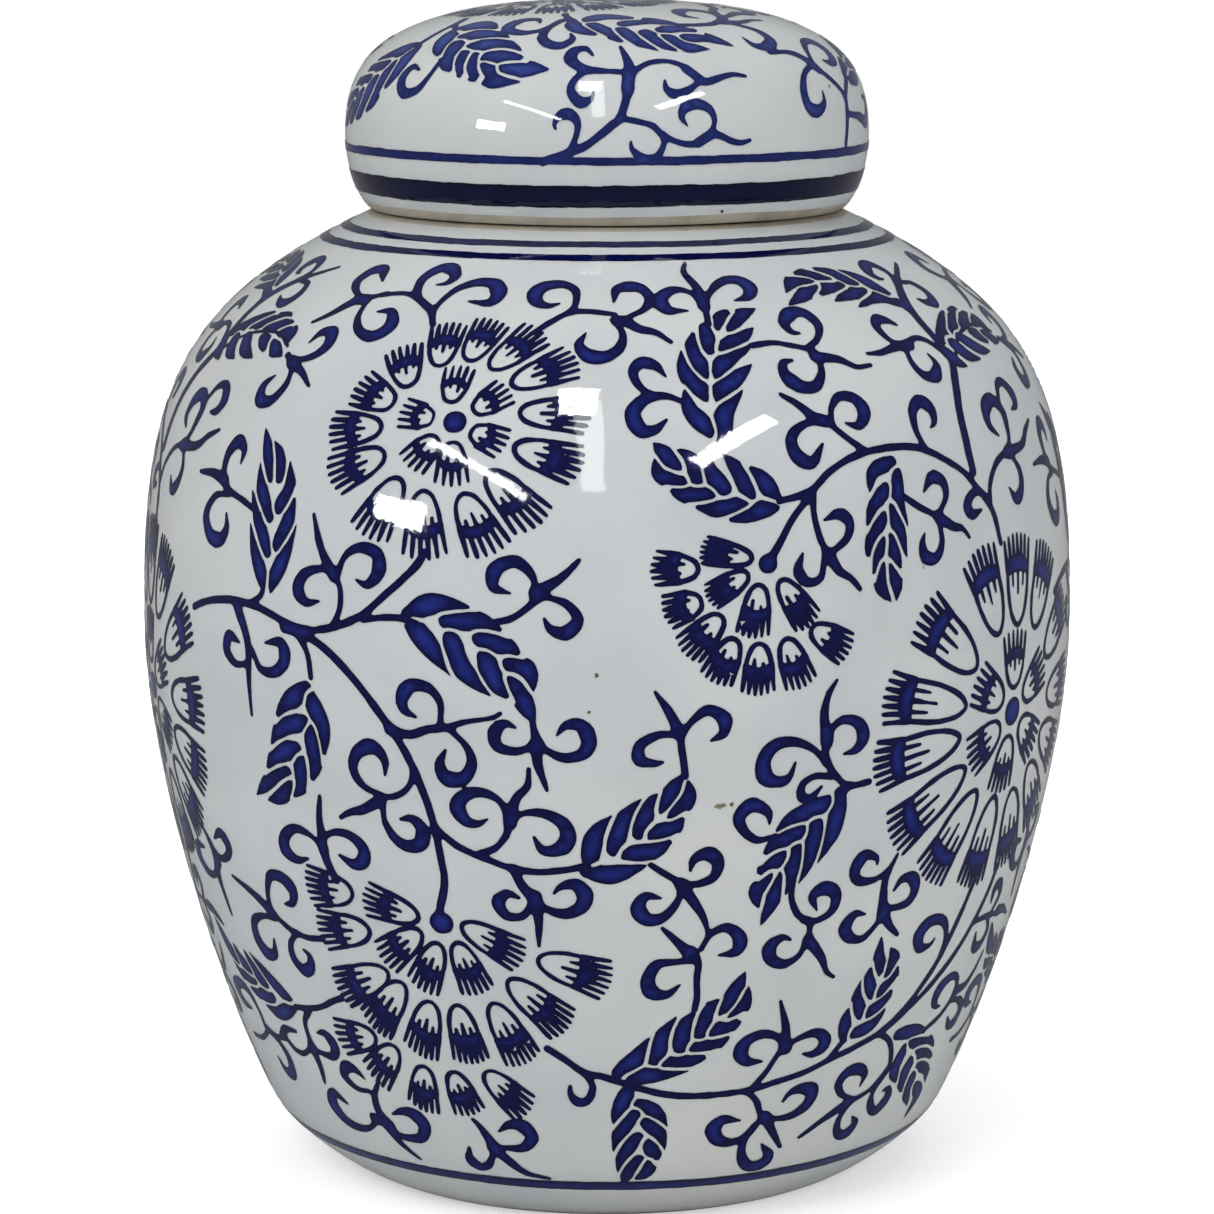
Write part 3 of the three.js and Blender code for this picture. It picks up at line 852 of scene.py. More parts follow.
def foot_sprigs(p):
    """Scrolls and spurs over the foot."""
    stem, curl, spur = p.stem, p.curl, p.spur
    stem((-80, 55), (-83, 52), (-83.3, 48), (-83, 45))
    spur((-83.3, 46), (-82.5, 41), (-83, 37))
    curl((-82.5, 45.5), (-79, 44.8), (-75.5, 45), (-74, 47.5), (-76, 50.3), (-79.3, 50))
    stem((-84, 45.5), (-88, 43.3), (-92, 43.5), (-95, 46))
    spur((-96, 46), (-93.5, 48.2), (-88.5, 48.6))
    stem((-104, 45.8), (-100, 45), (-96, 45.5))
    curl((-103, 45), (-99, 43), (-97.3, 39.5), (-99, 36), (-102.5, 36), (-104.5, 39))
    curl((-105.5, 46), (-106, 50), (-109, 54), (-114, 55), (-118, 53), (-116, 50), (-111, 49.3))
    stem((-104, 46), (-107, 44), (-112, 42), (-118, 41.5))
    curl((-66, 38), (-70, 38), (-73.5, 40.5), (-72, 43), (-69, 43), (-66.2, 41))
    spur((-62, 30), (-64.5, 33), (-64.5, 37), (-61.5, 41.3))
    curl((-66.5, 30.5), (-70, 28), (-75, 27.2), (-80, 28.5), (-82.5, 32), (-80.5, 35), (-76, 33))
    curl((-63, 31), (-60, 28), (-56, 27.5), (-52, 28.5), (-50.5, 31.5), (-52.5, 34), (-56, 34.5),
         (-60, 33.2))
    spur((-67, 31), (-64, 30), (-60, 25.5), (-55, 22))
    spur((-31, 29), (-33.5, 33), (-35.4, 35))
    curl((-31, 28.5), (-27, 28.3), (-22.5, 28.7), (-19.8, 31.5), (-22, 34.3), (-25.5, 34.5),
         (-28.6, 32.5))
    curl((-31, 27), (-33, 23.5), (-36, 22.3), (-38.5, 24.5), (-38, 27.5))
    spur((-31, 28), (-26, 24), (-22, 21.5), (-16.3, 20.3))
    curl((-5, 48), (-3.5, 45), (-4.5, 41.8), (-7, 41), (-9, 43), (-9, 45), fat=2.4)
    spur((44.2, 51.5), (43, 57.5), (40.7, 63.3))
    curl((44, 52), (41, 55), (37, 55.8), (33.5, 54.5), (32.3, 51.5), (34.5, 49.5), (38.3, 49.2))
    stem((44, 53), (42, 50), (40, 46.5), (37.5, 43.5))
    curl((43.5, 52), (47.5, 53.8), (52, 54.5), (55, 52.5), (54.5, 50.3), (52, 49.3), (49.3, 49.8))
    stem((35.5, 42), (38.5, 39.5), (40.5, 36), (42, 34.5))
    curl((42, 35), (46, 34), (51, 34.5), (54.5, 37), (54.5, 40), (51, 41), (48, 40.3), (46.5, 38.3))
    curl((40.5, 34), (38.5, 31), (34.5, 29.3), (30, 30), (28, 33), (30, 35.3), (35, 34.8))
    curl((39.5, 33), (37.5, 30), (37.3, 26), (40, 22.3), (44, 21.8), (46, 24.3), (42.9, 27.8))
    spur((42, 35), (46, 30), (49, 26.3))
    stem((92, 48.5), (97, 50.5), (100, 53), (102, 55.5))
    curl((101, 54), (101, 58), (97.5, 60), (93, 58.5), (91.8, 55.5), (93.5, 53.5), (95.5, 53.3))
    spur((102, 55.5), (107, 56), (110.5, 59), (112.5, 62.5))
    curl((101, 53.5), (106, 52.5), (109.3, 50), (108.5, 47), (105, 46.5), (102.5, 49))
    stem((72.5, 51), (77, 48.5), (80, 44), (80, 40), (77, 37))
    curl((78, 38), (77, 34.5), (79, 31), (82, 30.5), (84.5, 33), (83.5, 35.5), (81.5, 35.3))
    stem((80, 41), (76, 37), (71, 35.3), (67.5, 34.5))
    spur((68.5, 34.7), (62, 32), (54.6, 28))
    curl((69, 35.5), (65, 37.5), (63, 40.3), (65, 43), (69, 43), (71.5, 41), (71, 38.4))
    curl((68.5, 33.5), (66.8, 30.5), (68, 27), (71.5, 26), (74, 28.3), (72, 30.5))


def body_leaves(p):
    """Leaves, each a set of lobes on both sides of a bare midrib."""
    lobes, stem = p.lobes, p.stem
    stem((95, 193.5), (102, 198), (110, 200), (118, 200), (124.5, 197.5), w=0.9)
    lobes(((94.4, 198.5), (105.4, 204.5), (108.4, 204.5)),
          ((101.4, 200.5), (112.4, 205), (115.4, 204.5)),
          ((109.4, 201), (117.4, 203), (119.9, 202.5)), ((117.4, 200.5), (121.4, 201), (123.9, 198)),
          ((92.4, 196), (95.4, 193), (98.4, 191.5)), ((97.4, 198), (101.4, 194), (106.4, 192.5)),
          ((103.4, 198.5), (108.4, 195), (114.4, 193.5)), ((111.4, 199), (115.4, 197), (119.4, 195)),
          ((117.4, 197.5), (121.4, 196), (125.4, 195)))
    stem((-80, 144), (-77, 146), (-76.3, 148))
    lobes(((-76, 148), (-79, 154), (-81.5, 160)), ((-75.8, 155), (-78.5, 160), (-82, 166.5)),
          ((-76, 162), (-79, 167), (-81, 172.5)), ((-77, 170), (-79, 174.5), (-82, 179.5)),
          ((-74.5, 148), (-71.5, 153), (-68, 161)), ((-73, 156.5), (-70.5, 161), (-69.3, 168)),
          ((-73.5, 164), (-71, 168), (-72, 173.5)), ((-74.5, 170), (-75.5, 174), (-78, 177)))
    lobes(((-40, 145.5), (-35, 148), (-26, 147.3)), ((-32, 145), (-25, 145), (-19.5, 142.3)),
          ((-25, 141.8), (-20, 140.5), (-16.5, 138)), ((-19, 137), (-15.5, 135.5), (-14.5, 131.5)),
          ((-39.5, 144), (-35, 139), (-31, 134)), ((-31, 141.5), (-29, 136), (-23, 130.5)),
          ((-24, 138), (-22, 133.5), (-18, 129.5)), ((-18.5, 133.5), (-16, 129), (-14, 125)), w=3.6)
    lobes(((-64.5, 128.5), (-70, 124.5), (-73, 120.5)), ((-65.5, 121.5), (-71, 120), (-75.5, 114.5)),
          ((-68, 115.5), (-73, 114), (-77.5, 109)), ((-71.5, 110), (-76, 108), (-81.5, 104)),
          ((-71, 108), (-74, 105), (-78, 103.3)), ((-63.5, 127), (-60.5, 121), (-61.2, 113.5)),
          ((-63.5, 120), (-63, 114), (-66, 107.5)), ((-67, 113.5), (-67, 109), (-70.5, 105)), w=3.6)
    lobes(((22, 182.5), (18, 187), (17.3, 192)), ((22, 190), (18, 195), (18, 201)),
          ((22.5, 195), (20.5, 200), (22.5, 206)), ((24.5, 200.5), (24.5, 205), (27, 208)),
          ((24.5, 180.5), (25.5, 186), (30.5, 191)), ((24, 190), (28, 192.5), (34, 196.5)),
          ((25, 195), (29, 198.5), (36, 201.5)), ((28, 200.5), (33, 203), (37.5, 205.5)),
          ((28.5, 206.5), (31, 209), (34.5, 210)), ((31, 206), (35, 209), (40.5, 210.8)), w=3.2)
    lobes(((34.5, 169), (32, 172.5), (28.5, 175.5)), ((29, 169.5), (27.5, 174), (24, 178)),
          ((24, 171), (21, 174.5), (20.5, 179)), ((18.5, 173), (17, 177), (14, 179)),
          ((14.5, 175.5), (12, 178), (9.5, 180.5)), ((34, 167.3), (29, 166), (23, 165)),
          ((28, 168), (23, 167), (16.5, 168.3)), ((20.5, 170), (16, 170), (12, 172)),
          ((15, 172.8), (11, 174), (9.8, 177.5)), w=3.1)
    lobes(((88, 211.8), (84, 217), (77.8, 221)), ((79, 216.5), (74, 220), (66, 222)),
          ((71, 218.5), (65, 220.5), (57.5, 220)), ((63, 218), (57.5, 218.5), (52.5, 215)),
          ((90, 209), (83, 211.5), (73, 209.2)), ((80, 213.5), (73, 213), (66.5, 211.5)),
          ((73, 216), (67, 215.5), (60.5, 213)), ((64, 216), (58, 214), (51, 211.3)))
    lobes(((63, 174), (58, 172.5), (56.3, 168)), ((60.5, 169), (57, 165.5), (54.8, 161)),
          ((59, 163.5), (55.8, 159), (55, 152.5)), ((58.5, 158.5), (56.5, 155.5), (56.3, 151)),
          ((58.3, 153.5), (57.5, 150), (60, 146.5)), ((64, 171.7), (63.5, 166), (65.3, 161)),
          ((62, 165), (63, 160), (64.5, 155)), ((61, 159), (61.5, 155), (63, 151.5)),
          ((60.3, 153.5), (61.5, 150), (61.3, 146.5)), w=2.8)
    lobes(((-3.5, 97), (-2.5, 102), (1.3, 106.8)), ((1.5, 99.5), (3, 105), (7.3, 110.3)),
          ((6.5, 103), (8, 108), (10.5, 111.3)), ((11.5, 108), (13.5, 112), (15.5, 115)),
          ((13, 107), (16, 110), (15.8, 114)), ((-4, 94.8), (1, 94), (9, 96.5)),
          ((4, 98.5), (9, 98.8), (14, 102.5)), ((9, 102.8), (13, 103.5), (15.7, 107)), w=3.4)
    lobes(((49, 108.5), (48.2, 101), (45, 93.8)), ((44, 102.5), (43.3, 96), (41.3, 90)),
          ((40, 97.5), (39.5, 93), (38, 87)), ((36.5, 91.5), (35.5, 87), (33.5, 81.5)),
          ((46.3, 107), (38.5, 104.3), (34.5, 101)), ((40.5, 101.3), (35, 99), (32.5, 95)),
          ((37, 96.3), (33.5, 94.5), (32, 91)), ((34.5, 92), (32, 89), (33, 85)), w=3.3)
    lobes(((-87, 56.3), (-93.5, 60.5), (-100, 65)), ((-96.5, 58), (-100, 61), (-103, 65)),
          ((-103, 60), (-106.5, 62), (-109, 65.5)), ((-109.5, 61), (-113, 64), (-117.5, 69.5)),
          ((-86.5, 54.8), (-94, 51.8), (-101, 53)), ((-95, 55.5), (-101, 55), (-108, 56.3)),
          ((-102.5, 57.5), (-108, 58), (-113, 60.5)))
    lobes(((3, 48.5), (7, 52), (10.5, 57.3)), ((11.5, 51), (12.5, 56), (15.8, 61.5)),
          ((17.5, 53.5), (17.5, 58), (22, 64)), ((22, 57.3), (22.5, 62), (26, 65.3)),
          ((27.5, 62), (29, 66), (31, 71)), ((6, 47), (12, 48), (20, 48.5)),
          ((14, 50), (19, 51), (26.5, 53)), ((20.5, 53.5), (25, 54.3), (29.5, 56.7)),
          ((25, 57.3), (29, 59), (32, 62)), ((28.5, 61), (31, 63), (32.3, 67.5)), w=3.4)
    lobes(((5, 44), (3.6, 40), (1.3, 34.5)), ((7.5, 38.5), (4, 34.5), (1.6, 27.5)),
          ((8, 32), (4.8, 28.5), (3, 22.5)), ((8.5, 26), (6, 23), (4.5, 18.8)),
          ((8, 40.5), (12, 38.5), (15.5, 34.5)), ((10, 36), (13, 33.5), (15.3, 28.5)),
          ((11, 30.5), (12.5, 28), (13.3, 24.8)), ((11.5, 25), (10.5, 22.5), (8, 20.5)))
    stem((58, 48), (60.5, 51))
    lobes(((61, 52), (60, 56), (60.5, 60)), ((64.5, 57), (62, 61), (62, 65.5)),
          ((66.5, 61.5), (64.5, 65), (64.5, 69)), ((68, 66.5), (66, 70), (65.5, 74.8)),
          ((63, 52.5), (69, 54), (72.7, 58.5)), ((66.5, 57), (71, 59), (73.3, 64)),
          ((68.5, 61.5), (72.3, 64), (72.5, 68)), ((69.5, 66), (71, 69), (69, 72)), w=2.8)
    lobes(((80, 49.5), (88, 48.8), (95, 46)), ((87, 46), (95, 45), (101, 41.5)),
          ((91.5, 43), (98, 41), (103, 37)), ((95.5, 39), (101, 37), (104, 32.5)),
          ((84.5, 45), (83.5, 40), (87, 36)), ((90, 41.5), (89, 37), (92, 32)),
          ((94, 36.5), (94, 33), (98, 28)), ((98, 33), (102, 30), (100, 24.5)))


def body_rings(canvas):
    """The two lines round the shoulder and the one over the foot."""
    u = np.linspace(-TURN / 2, TURN / 2, RING_POINTS)
    angle = u / BELLY_RADIUS
    for level, width, seed, rise in ((233.0, 2.2, 1, 0), (228.0, 2.2, 2, 0), (17.9, 3.2, 3, 1)):
        sway = hand(seed, 0.16)
        swell = hand(seed + 10, 0.16, (3, 7, 12, 19, 30))
        path = np.stack([u, level + sway(angle) + rise * np.sin(angle) ** 2], 1)
        canvas.stroke(path, width + swell(angle), 0)


def body_surface(flat):
    """Where points of the body's flat map lie on the body."""
    return WALL.point(flat[:, 1], flat[:, 0] / BELLY_RADIUS, FILM)


def paint_body():
    """The body's painting, in panels that go round it."""
    top = 238

    def stretch(s):
        return WALL.at(s)[0] / BELLY_RADIUS

    canvas = Canvas((-TURN / 2, 0), (TURN / 2, top), stretch, TURN)
    painter = Painter(canvas, [repeat(k) for k in range(REPEATS)])
    body_rings(canvas)
    body_stems(painter)
    upper_sprigs(painter)
    middle_sprigs(painter)
    lower_sprigs(painter)
    foot_sprigs(painter)
    body_leaves(painter)
    round_flowers(canvas)
    fan_flowers(canvas)
    canvas.finish(41)
    flat, faces, depth = painted_skin(canvas)
    place, normal = body_surface(flat)
    panels = 6
    wide = TURN / panels
    margin = 4
    u = flat[faces].mean(1)[:, 0]
    made = []
    for i in range(panels):
        low = -TURN / 2 + i * TURN / panels
        chosen = faces[(u >= low) & (u < low + wide)]
        across = (flat[:, 0] - low + margin) / (wide + 2 * margin)
        uv = np.stack([across, flat[:, 1] / (top + 2)], 1)
        made.append(skin_piece(f"body_painting_{i + 1}", flat, chosen, depth, place, normal, uv))
    return made


def kiln_specks(name, spots, place_at):
    """Specks fired into the glaze: (across, up, width, height, darkness) of each on the map."""
    sides = 28
    flat = []
    depth = []
    faces = []
    around = np.arange(sides) * 2 * math.pi / sides
    for i, (across, up, wide, high, dark) in enumerate(spots):
        first = len(flat)
        reach = 0.5 * (1 + hand(60 + i, 0.3, (2, 3, 5, 7))(around))
        x = across + wide * reach * np.cos(around)
        y = up + high * reach * np.sin(around)
        flat += [(across, up)] + list(zip(x, y))
        depth += [dark] * (sides + 1)
        faces += [(first, first + 1 + k, first + 1 + (k + 1) % sides) for k in range(sides)]
    flat = np.array(flat)
    place, normal = place_at(flat)
    uv = (flat - flat.min(0) + 1) / (np.ptp(flat, axis=0).max() + 2)
    return skin_piece(name, flat, np.array(faces), np.array(depth), place, normal, uv)


# ---------------------------------------------------------------- the lid's pattern, in (x, y)

def lid_rim_sprig(p):
    """The scroll that grows out of the lid's thin line at the front."""
    stem, curl, spur = p.stem, p.curl, p.spur
    stem((-17, -71.3), (-12, -71), (-6, -70), (-2, -68), (1, -66), (3, -64.5), (4.4, -60), (4.6, -55),
         w=2)
    spur((4.6, -58), (4.6, -53), (2.8, -47.3), base=3.4)
    curl((4, -54.5), (-1, -54.3), (-5, -53.5), (-7.5, -51), (-7, -48.5), (-4.5, -47.8), (-3, -50))
    curl((-4, -54), (-7, -56), (-8, -58.5), (-6, -61), (-3.5, -60.4), (-3, -59))
    stem((4.4, -56), (7, -53), (10, -51), (14, -50.3), (18, -51.5), (21, -53))
    spur((17, -51.4), (21, -53), (24, -51), (27, -48.5), (30, -47.3), base=2.6)
    curl((20.5, -53), (18, -56), (15, -57.7), (13, -57), (12.5, -55.3))
    stem((3, -64.5), (7, -64.7), (11, -65.2), (14, -66.7), (19, -67), (23, -65.8), (25.5, -63.5))
    spur((23, -65.5), (26, -62.7), (31, -62), (34, -61), (36, -59.3), base=2.4)
    curl((14, -66.5), (14.2, -69), (12.5, -71.5), (9, -72), (6.3, -70.3), (6, -69))
    curl((25.5, -63), (25.5, -60), (23.5, -58.2), (20, -58.3), (17.6, -60), (17.5, -62),
         (19.3, -63.3))
    curl((-9.5, -70.5), (-7.5, -67.5), (-7, -65), (-8.5, -63.2), (-11, -63), (-12.5, -64.5),
         (-12.3, -65.5), fat=2.8)


def lid_leaves(p):
    """Leaves round the crown of the lid."""
    lobes, stem = p.lobes, p.stem
    stem((-7.5, -22), (-8.5, -27), (-8.5, -30), (-7, -34.5), w=1.8)
    lobes(((-4.5, -34.5), (0, -31.8), (8.5, -34)), ((3.5, -36.6), (9, -33.8), (17, -36)),
          ((11.5, -39), (15, -36.7), (20.5, -38.5)), ((16.5, -41), (20, -39.2), (26.2, -39.7)),
          ((-6.6, -34.8), (-6, -39), (0, -43.5)), ((-3.4, -37), (-0.3, -41.5), (5.3, -46.8)),
          ((3, -40.4), (5, -44), (10.7, -47.6)), ((8, -41), (11, -44.5), (15.7, -46.7)),
          ((12, -42), (16, -44.6), (21.5, -43.6)), w=3.4)
    stem((-29, -19), (-31.5, -23), (-31.7, -27.5), w=1.5)
    lobes(((-32, -28), (-35.2, -33), (-35, -38)), ((-31, -34.5), (-34, -39), (-33, -45)),
          ((-29.5, -40), (-31.5, -44), (-30, -47.5)), ((-28.5, -42), (-29, -46.5), (-25.5, -50.5)),
          ((-26.3, -46), (-25, -50.5), (-19, -53.8)), ((-30.5, -27.5), (-26, -28.6), (-22.5, -34.8)),
          ((-30, -33), (-25, -34.5), (-20, -40)), ((-28.4, -39), (-23, -40.5), (-17.5, -46.3)),
          ((-26, -44.5), (-21.5, -45.5), (-17, -49.6)), ((-22, -49.5), (-18, -50.8), (-12.5, -52.6)),
          w=3.8)
    stem((-29, -19), (-32, -22.5), (-36, -25), (-40.5, -27), w=1.5)
    lobes(((-41, -28), (-47, -31), (-53, -30.5)), ((-47, -27.5), (-54, -29.5), (-60, -26.5)),
          ((-52.5, -25), (-59, -25), (-64, -20.5)), ((-57, -21), (-62, -20), (-66.5, -14.5)),
          ((-61, -16.5), (-65, -14), (-68, -9)), ((-41.5, -26), (-47, -22.5), (-51, -18)),
          ((-47.5, -24.5), (-52, -20), (-55.5, -15.5)), ((-53, -21.5), (-57, -16.5), (-60, -12)),
          ((-58, -17.5), (-61.5, -13), (-64, -8.5)), w=3.6)
    lobes(((54, -20), (52, -14), (48.5, -10)), ((52, -13), (49, -7), (46, -3)),
          ((51, -6), (48, 0), (46.5, 5)), ((54.5, -19.5), (56.5, -13), (55.5, -7)),
          ((53.5, -12), (55, -6), (53.5, 0)), ((51.8, -4), (52, 2), (49, 8)), w=3.2)


def lid_sprigs(p):
    """Scrolls and spurs between the lid's leaves."""
    stem, curl, spur = p.stem, p.curl, p.spur
    curl((-36, -39), (-39, -40.8), (-43, -41.4), (-46.4, -38.6), (-45.6, -35), (-42.2, -34.4),
         (-40.8, -37))
    curl((-9, -33.5), (-13, -38), (-17, -38.5), (-20.2, -36), (-20.2, -33), (-17.5, -30.6),
         (-14.3, -31.3), (-13.8, -34))
    curl((-9.5, -33.5), (-12.3, -38), (-13.4, -42), (-12, -45), (-9.5, -46), (-7.2, -44),
         (-7.5, -41.5))
    stem((15, -35), (19, -33), (22, -30.5), (23.5, -27), (23.5, -23), (22, -17), (22.5, -12),
         (20, -5), w=1.9)
    curl((24, -28), (24, -24), (22, -21), (19, -19.8), (15.8, -21), (14.8, -24.5), (16.2, -27.6),
         (19, -28))
    spur((24, -28), (28, -24.5), (30, -20.5), (32.5, -17.5))
    curl((23.5, -27), (27, -16), (30, -12), (29, -7), (25, -6.5), (24.5, -9.5))
    curl((23, -28.5), (28, -27.6), (32, -28.2), (34.4, -31), (33.8, -34.5), (31, -36.3),
         (28.3, -34.6))
    stem((44, -30.5), (48, -29.5), (52, -27.8), (56, -26.8), (59, -29), (63.6, -32.9), w=1.7)
    spur((46, -30.2), (41, -31), (37.5, -33.3), (34.5, -36.7))
    curl((44.6, -29.5), (42.6, -26), (42, -22), (44, -18.5), (47.5, -17.8), (49.6, -20.3),
         (48.6, -23.5), (47, -24.8))
    curl((44.6, -30.5), (43.4, -35.5), (44.5, -40), (47.5, -41.8), (50.3, -40), (51, -36.5),
         (49.2, -34.7))
    stem((56, -26.8), (54.8, -23), (54, -19.5), w=1.5)
    curl((59, -28.5), (63, -21), (66, -15.5), (65, -11.5), (62, -11), (61, -14))


def lid_top_sprig(p):
    """The scroll beside the lid's flower, on its right."""
    p.stem((20.5, -6), (25, 3), (31, 8), (36, 8.5))
    p.curl((30.5, 7.5), (35, 13), (40, 14), (43, 10.8), (41.3, 7.2), (38.5, 8.6))
    p.curl((25.5, 4), (23, 10), (24.5, 16), (29.5, 17.5), (32.8, 14.3), (30.5, 11.8))
    p.spur((35, 8.5), (38.5, 4), (40.5, -1.5))
    p.curl((24, 1), (29, 0.5), (33, -1.5), (33.4, -5), (30.5, -6.3))


def lid_surface(flat):
    """Where points of the lid's flat map lie on the lid."""
    return LID.point(LID.end - np.hypot(*flat.T), np.arctan2(flat[:, 0], -flat[:, 1]), FILM)


def paint_lid():
    """The lid's painting and its band, which is a darker blue. The back half repeats the front."""
    reach = 87.0
    canvas = Canvas((-reach, -reach), (reach, reach), lambda y: np.ones(np.shape(y)))
    angle = np.linspace(0, 2 * math.pi, RING_POINTS)
    for radius, width, seed in ((73.1, 1.7, 5), (80.4, 4.7, 6)):
        rho = radius + hand(seed, 0.14)(angle)
        ring = np.stack([rho * np.sin(angle), -rho * np.cos(angle)], 1)
        canvas.stroke(ring, width + hand(seed + 10, 0.16, (3, 7, 12, 19))(angle), 0)
    both = Painter(canvas, [lambda p: p, lambda p: -p], 0.9)
    lid_rim_sprig(both)
    lid_leaves(both)
    lid_sprigs(both)
    centre = np.array([-10.0, -1.5])
    flower_reach = 26.3
    canvas.clear(centre, flower_reach)
    flower = Painter(canvas, [lambda p: p])
    lid_top_sprig(flower)
    flower.blob(centre, 2.4)
    flower.ring_of_petals(centre, (100, 40, -20, 280, 220, 160), 4, 12.8, 5.8, fringe=5, cap=1.7,
                          line=0.85, fingers=2)
    outer = 14
    angles = [88 + i * 360 / outer for i in range(outer)]
    flower.ring_of_petals(centre, angles, 12.4, 25.5, 6.9, fan=1.3)
    canvas.finish(43)
    flat, faces, depth = painted_skin(canvas)
    place, normal = lid_surface(flat)
    edge = reach + 3
    uv = (flat + edge) / (2 * edge)
    between_rings = 75.6
    band = np.hypot(*flat.T)[faces].mean(1) > between_rings
    return (skin_piece("lid_painting", flat, faces[~band], depth, place, normal, uv),
            skin_piece("lid_band", flat, faces[band], depth, place, normal, uv))


# ---------------------------------------------------------------- materials

def linear(*rgb):
    """An everyday 0 to 255 colour as the shader's own numbers."""
    scaled = [c / 255 for c in rgb]
    return tuple(c / 12.92 if c < 0.04045 else ((c + 0.055) / 1.055) ** 2.4 for c in scaled) + (1,)


class Nodes:
    """A material's node tree with short ways to add to it."""

    def __init__(self, name):
        self.material = bpy.data.materials.new(name)
        self.material.use_nodes = True
        self.tree = self.material.node_tree
        self.shader = self.tree.nodes["Principled BSDF"]
        self.place = self.add("ShaderNodeTexCoord").outputs["Object"]

    def add(self, kind, **settings):
        node = self.tree.nodes.new(kind)
        for key, value in settings.items():
            if hasattr(node, key):
                setattr(node, key, value)
            else:
                node.inputs[key].default_value = value
        return node

    def link(self, out, into):
        self.tree.links.new(out, into)

    def noise(self, scale, detail=3.0, rough=0.5):
        node = self.add("ShaderNodeTexNoise", Scale=scale, Detail=detail, Roughness=rough)
        self.link(self.place, node.inputs["Vector"])
        return node.outputs["Fac"]

    def ramp(self, value, *stops):
        """A colour for each value, from (place, colour) stops."""
        node = self.add("ShaderNodeValToRGB")
        node.color_ramp.elements[0].position = stops[0][0]
        node.color_ramp.elements[0].color = stops[0][1]
        node.color_ramp.elements[1].position = stops[-1][0]
        node.color_ramp.elements[1].color = stops[-1][1]
        for at, colour in stops[1:-1]:
            node.color_ramp.elements.new(at).color = colour
        self.link(value, node.inputs["Fac"])
        return node.outputs["Color"]

    def mix(self, kind, amount, a, b):
        """Two colours mixed. A mix node's colours are sockets 6 and 7, and come out of number 2."""
        node = self.add("ShaderNodeMix", data_type="RGBA", blend_type=kind)
        for socket, value in ((0, amount), (6, a), (7, b)):
            if isinstance(value, (int, float, tuple)):
                node.inputs[socket].default_value = value
            else:
                self.link(value, node.inputs[socket])
        return node.outputs[2]

    def scaled(self, value, low, high, to_low, to_high):
        node = self.add("ShaderNodeMapRange", clamp=True)
        names = ("From Min", "From Max", "To Min", "To Max")
        for name, number in zip(names, (low, high, to_low, to_high)):
            node.inputs[name].default_value = number
        self.link(value, node.inputs["Value"])
        return node.outputs["Result"]

    def bump(self, value, strength, distance):
        node = self.add("ShaderNodeBump", Strength=strength, Distance=distance)
        self.link(value, node.inputs["Height"])
        self.link(node.outputs["Normal"], self.shader.inputs["Normal"])

    def depth(self):
        """The number that each point of the painting or a speck carries."""
        node = self.add("ShaderNodeAttribute", attribute_name="depth", attribute_type="GEOMETRY")
        return node.outputs["Fac"]

    def glaze_over(self, detail, rough, strength):
        """Clear glaze over the colour: a nearly perfect mirror with soft waves."""
        gloss = self.scaled(self.noise(60, 2), 0.3, 0.7, 0.025, 0.05)
        self.link(gloss, self.shader.inputs["Roughness"])
        self.shader.inputs["IOR"].default_value = GLAZE_IOR
        self.bump(self.noise(55, detail, rough), strength, 0.0004)


def glaze_material():
    """Glaze over white porcelain, with a faint cool and warm drift and pin-prick specks."""
    m = Nodes("white_glaze")
    drift = m.ramp(m.noise(9, 3), (0.3, linear(201, 206, 209)), (0.7, linear(209, 210, 208)))
    tint = m.ramp(m.noise(38, 2), (0.35, linear(246, 247, 248)), (0.65, linear(255, 255, 255)))
    base = m.mix("MULTIPLY", 1.0, drift, tint)
    cells = m.add("ShaderNodeTexVoronoi", Scale=62.0)
    m.link(m.place, cells.inputs["Vector"])
    close = m.scaled(cells.outputs["Distance"], 0.018, 0.034, 1, 0)
    rare = m.scaled(m.noise(31, 0), 0.66, 0.69, 0, 0.5)
    both = m.add("ShaderNodeMath", operation="MULTIPLY")
    m.link(close, both.inputs[0])
    m.link(rare, both.inputs[1])
    base = m.mix("MIX", both.outputs[0], base, linear(120, 108, 92))
    m.link(base, m.shader.inputs["Base Color"])
    m.glaze_over(4, 0.5, 0.2)
    return m.material


def cobalt_material(name, dark, wash):
    """Cobalt under the glaze: a dark outline, a bluer wash inside it, and uneven brushing."""
    m = Nodes(name)
    deepest = 2.0
    middle = [(a + b) / 2 for a, b in zip(dark, wash)]
    tone = m.ramp(m.scaled(m.depth(), 0, deepest, 0, 1),
                  (0.0, linear(*dark)), (0.15, linear(*dark)),
                  (0.4, linear(*middle)), (0.75, linear(*wash)))
    brushed = m.ramp(m.noise(110, 4, 0.6),
                     (0.3, linear(168, 170, 196)), (0.7, linear(255, 255, 255)))
    base = m.mix("MULTIPLY", 0.8, tone, brushed)
    pools = m.scaled(m.noise(260, 3, 0.6), 0.45, 0.72, 0, 0.4)
    base = m.mix("MIX", pools, base, linear(*dark))
    m.link(base, m.shader.inputs["Base Color"])
    m.glaze_over(5, 0.55, 0.24)
    return m.material


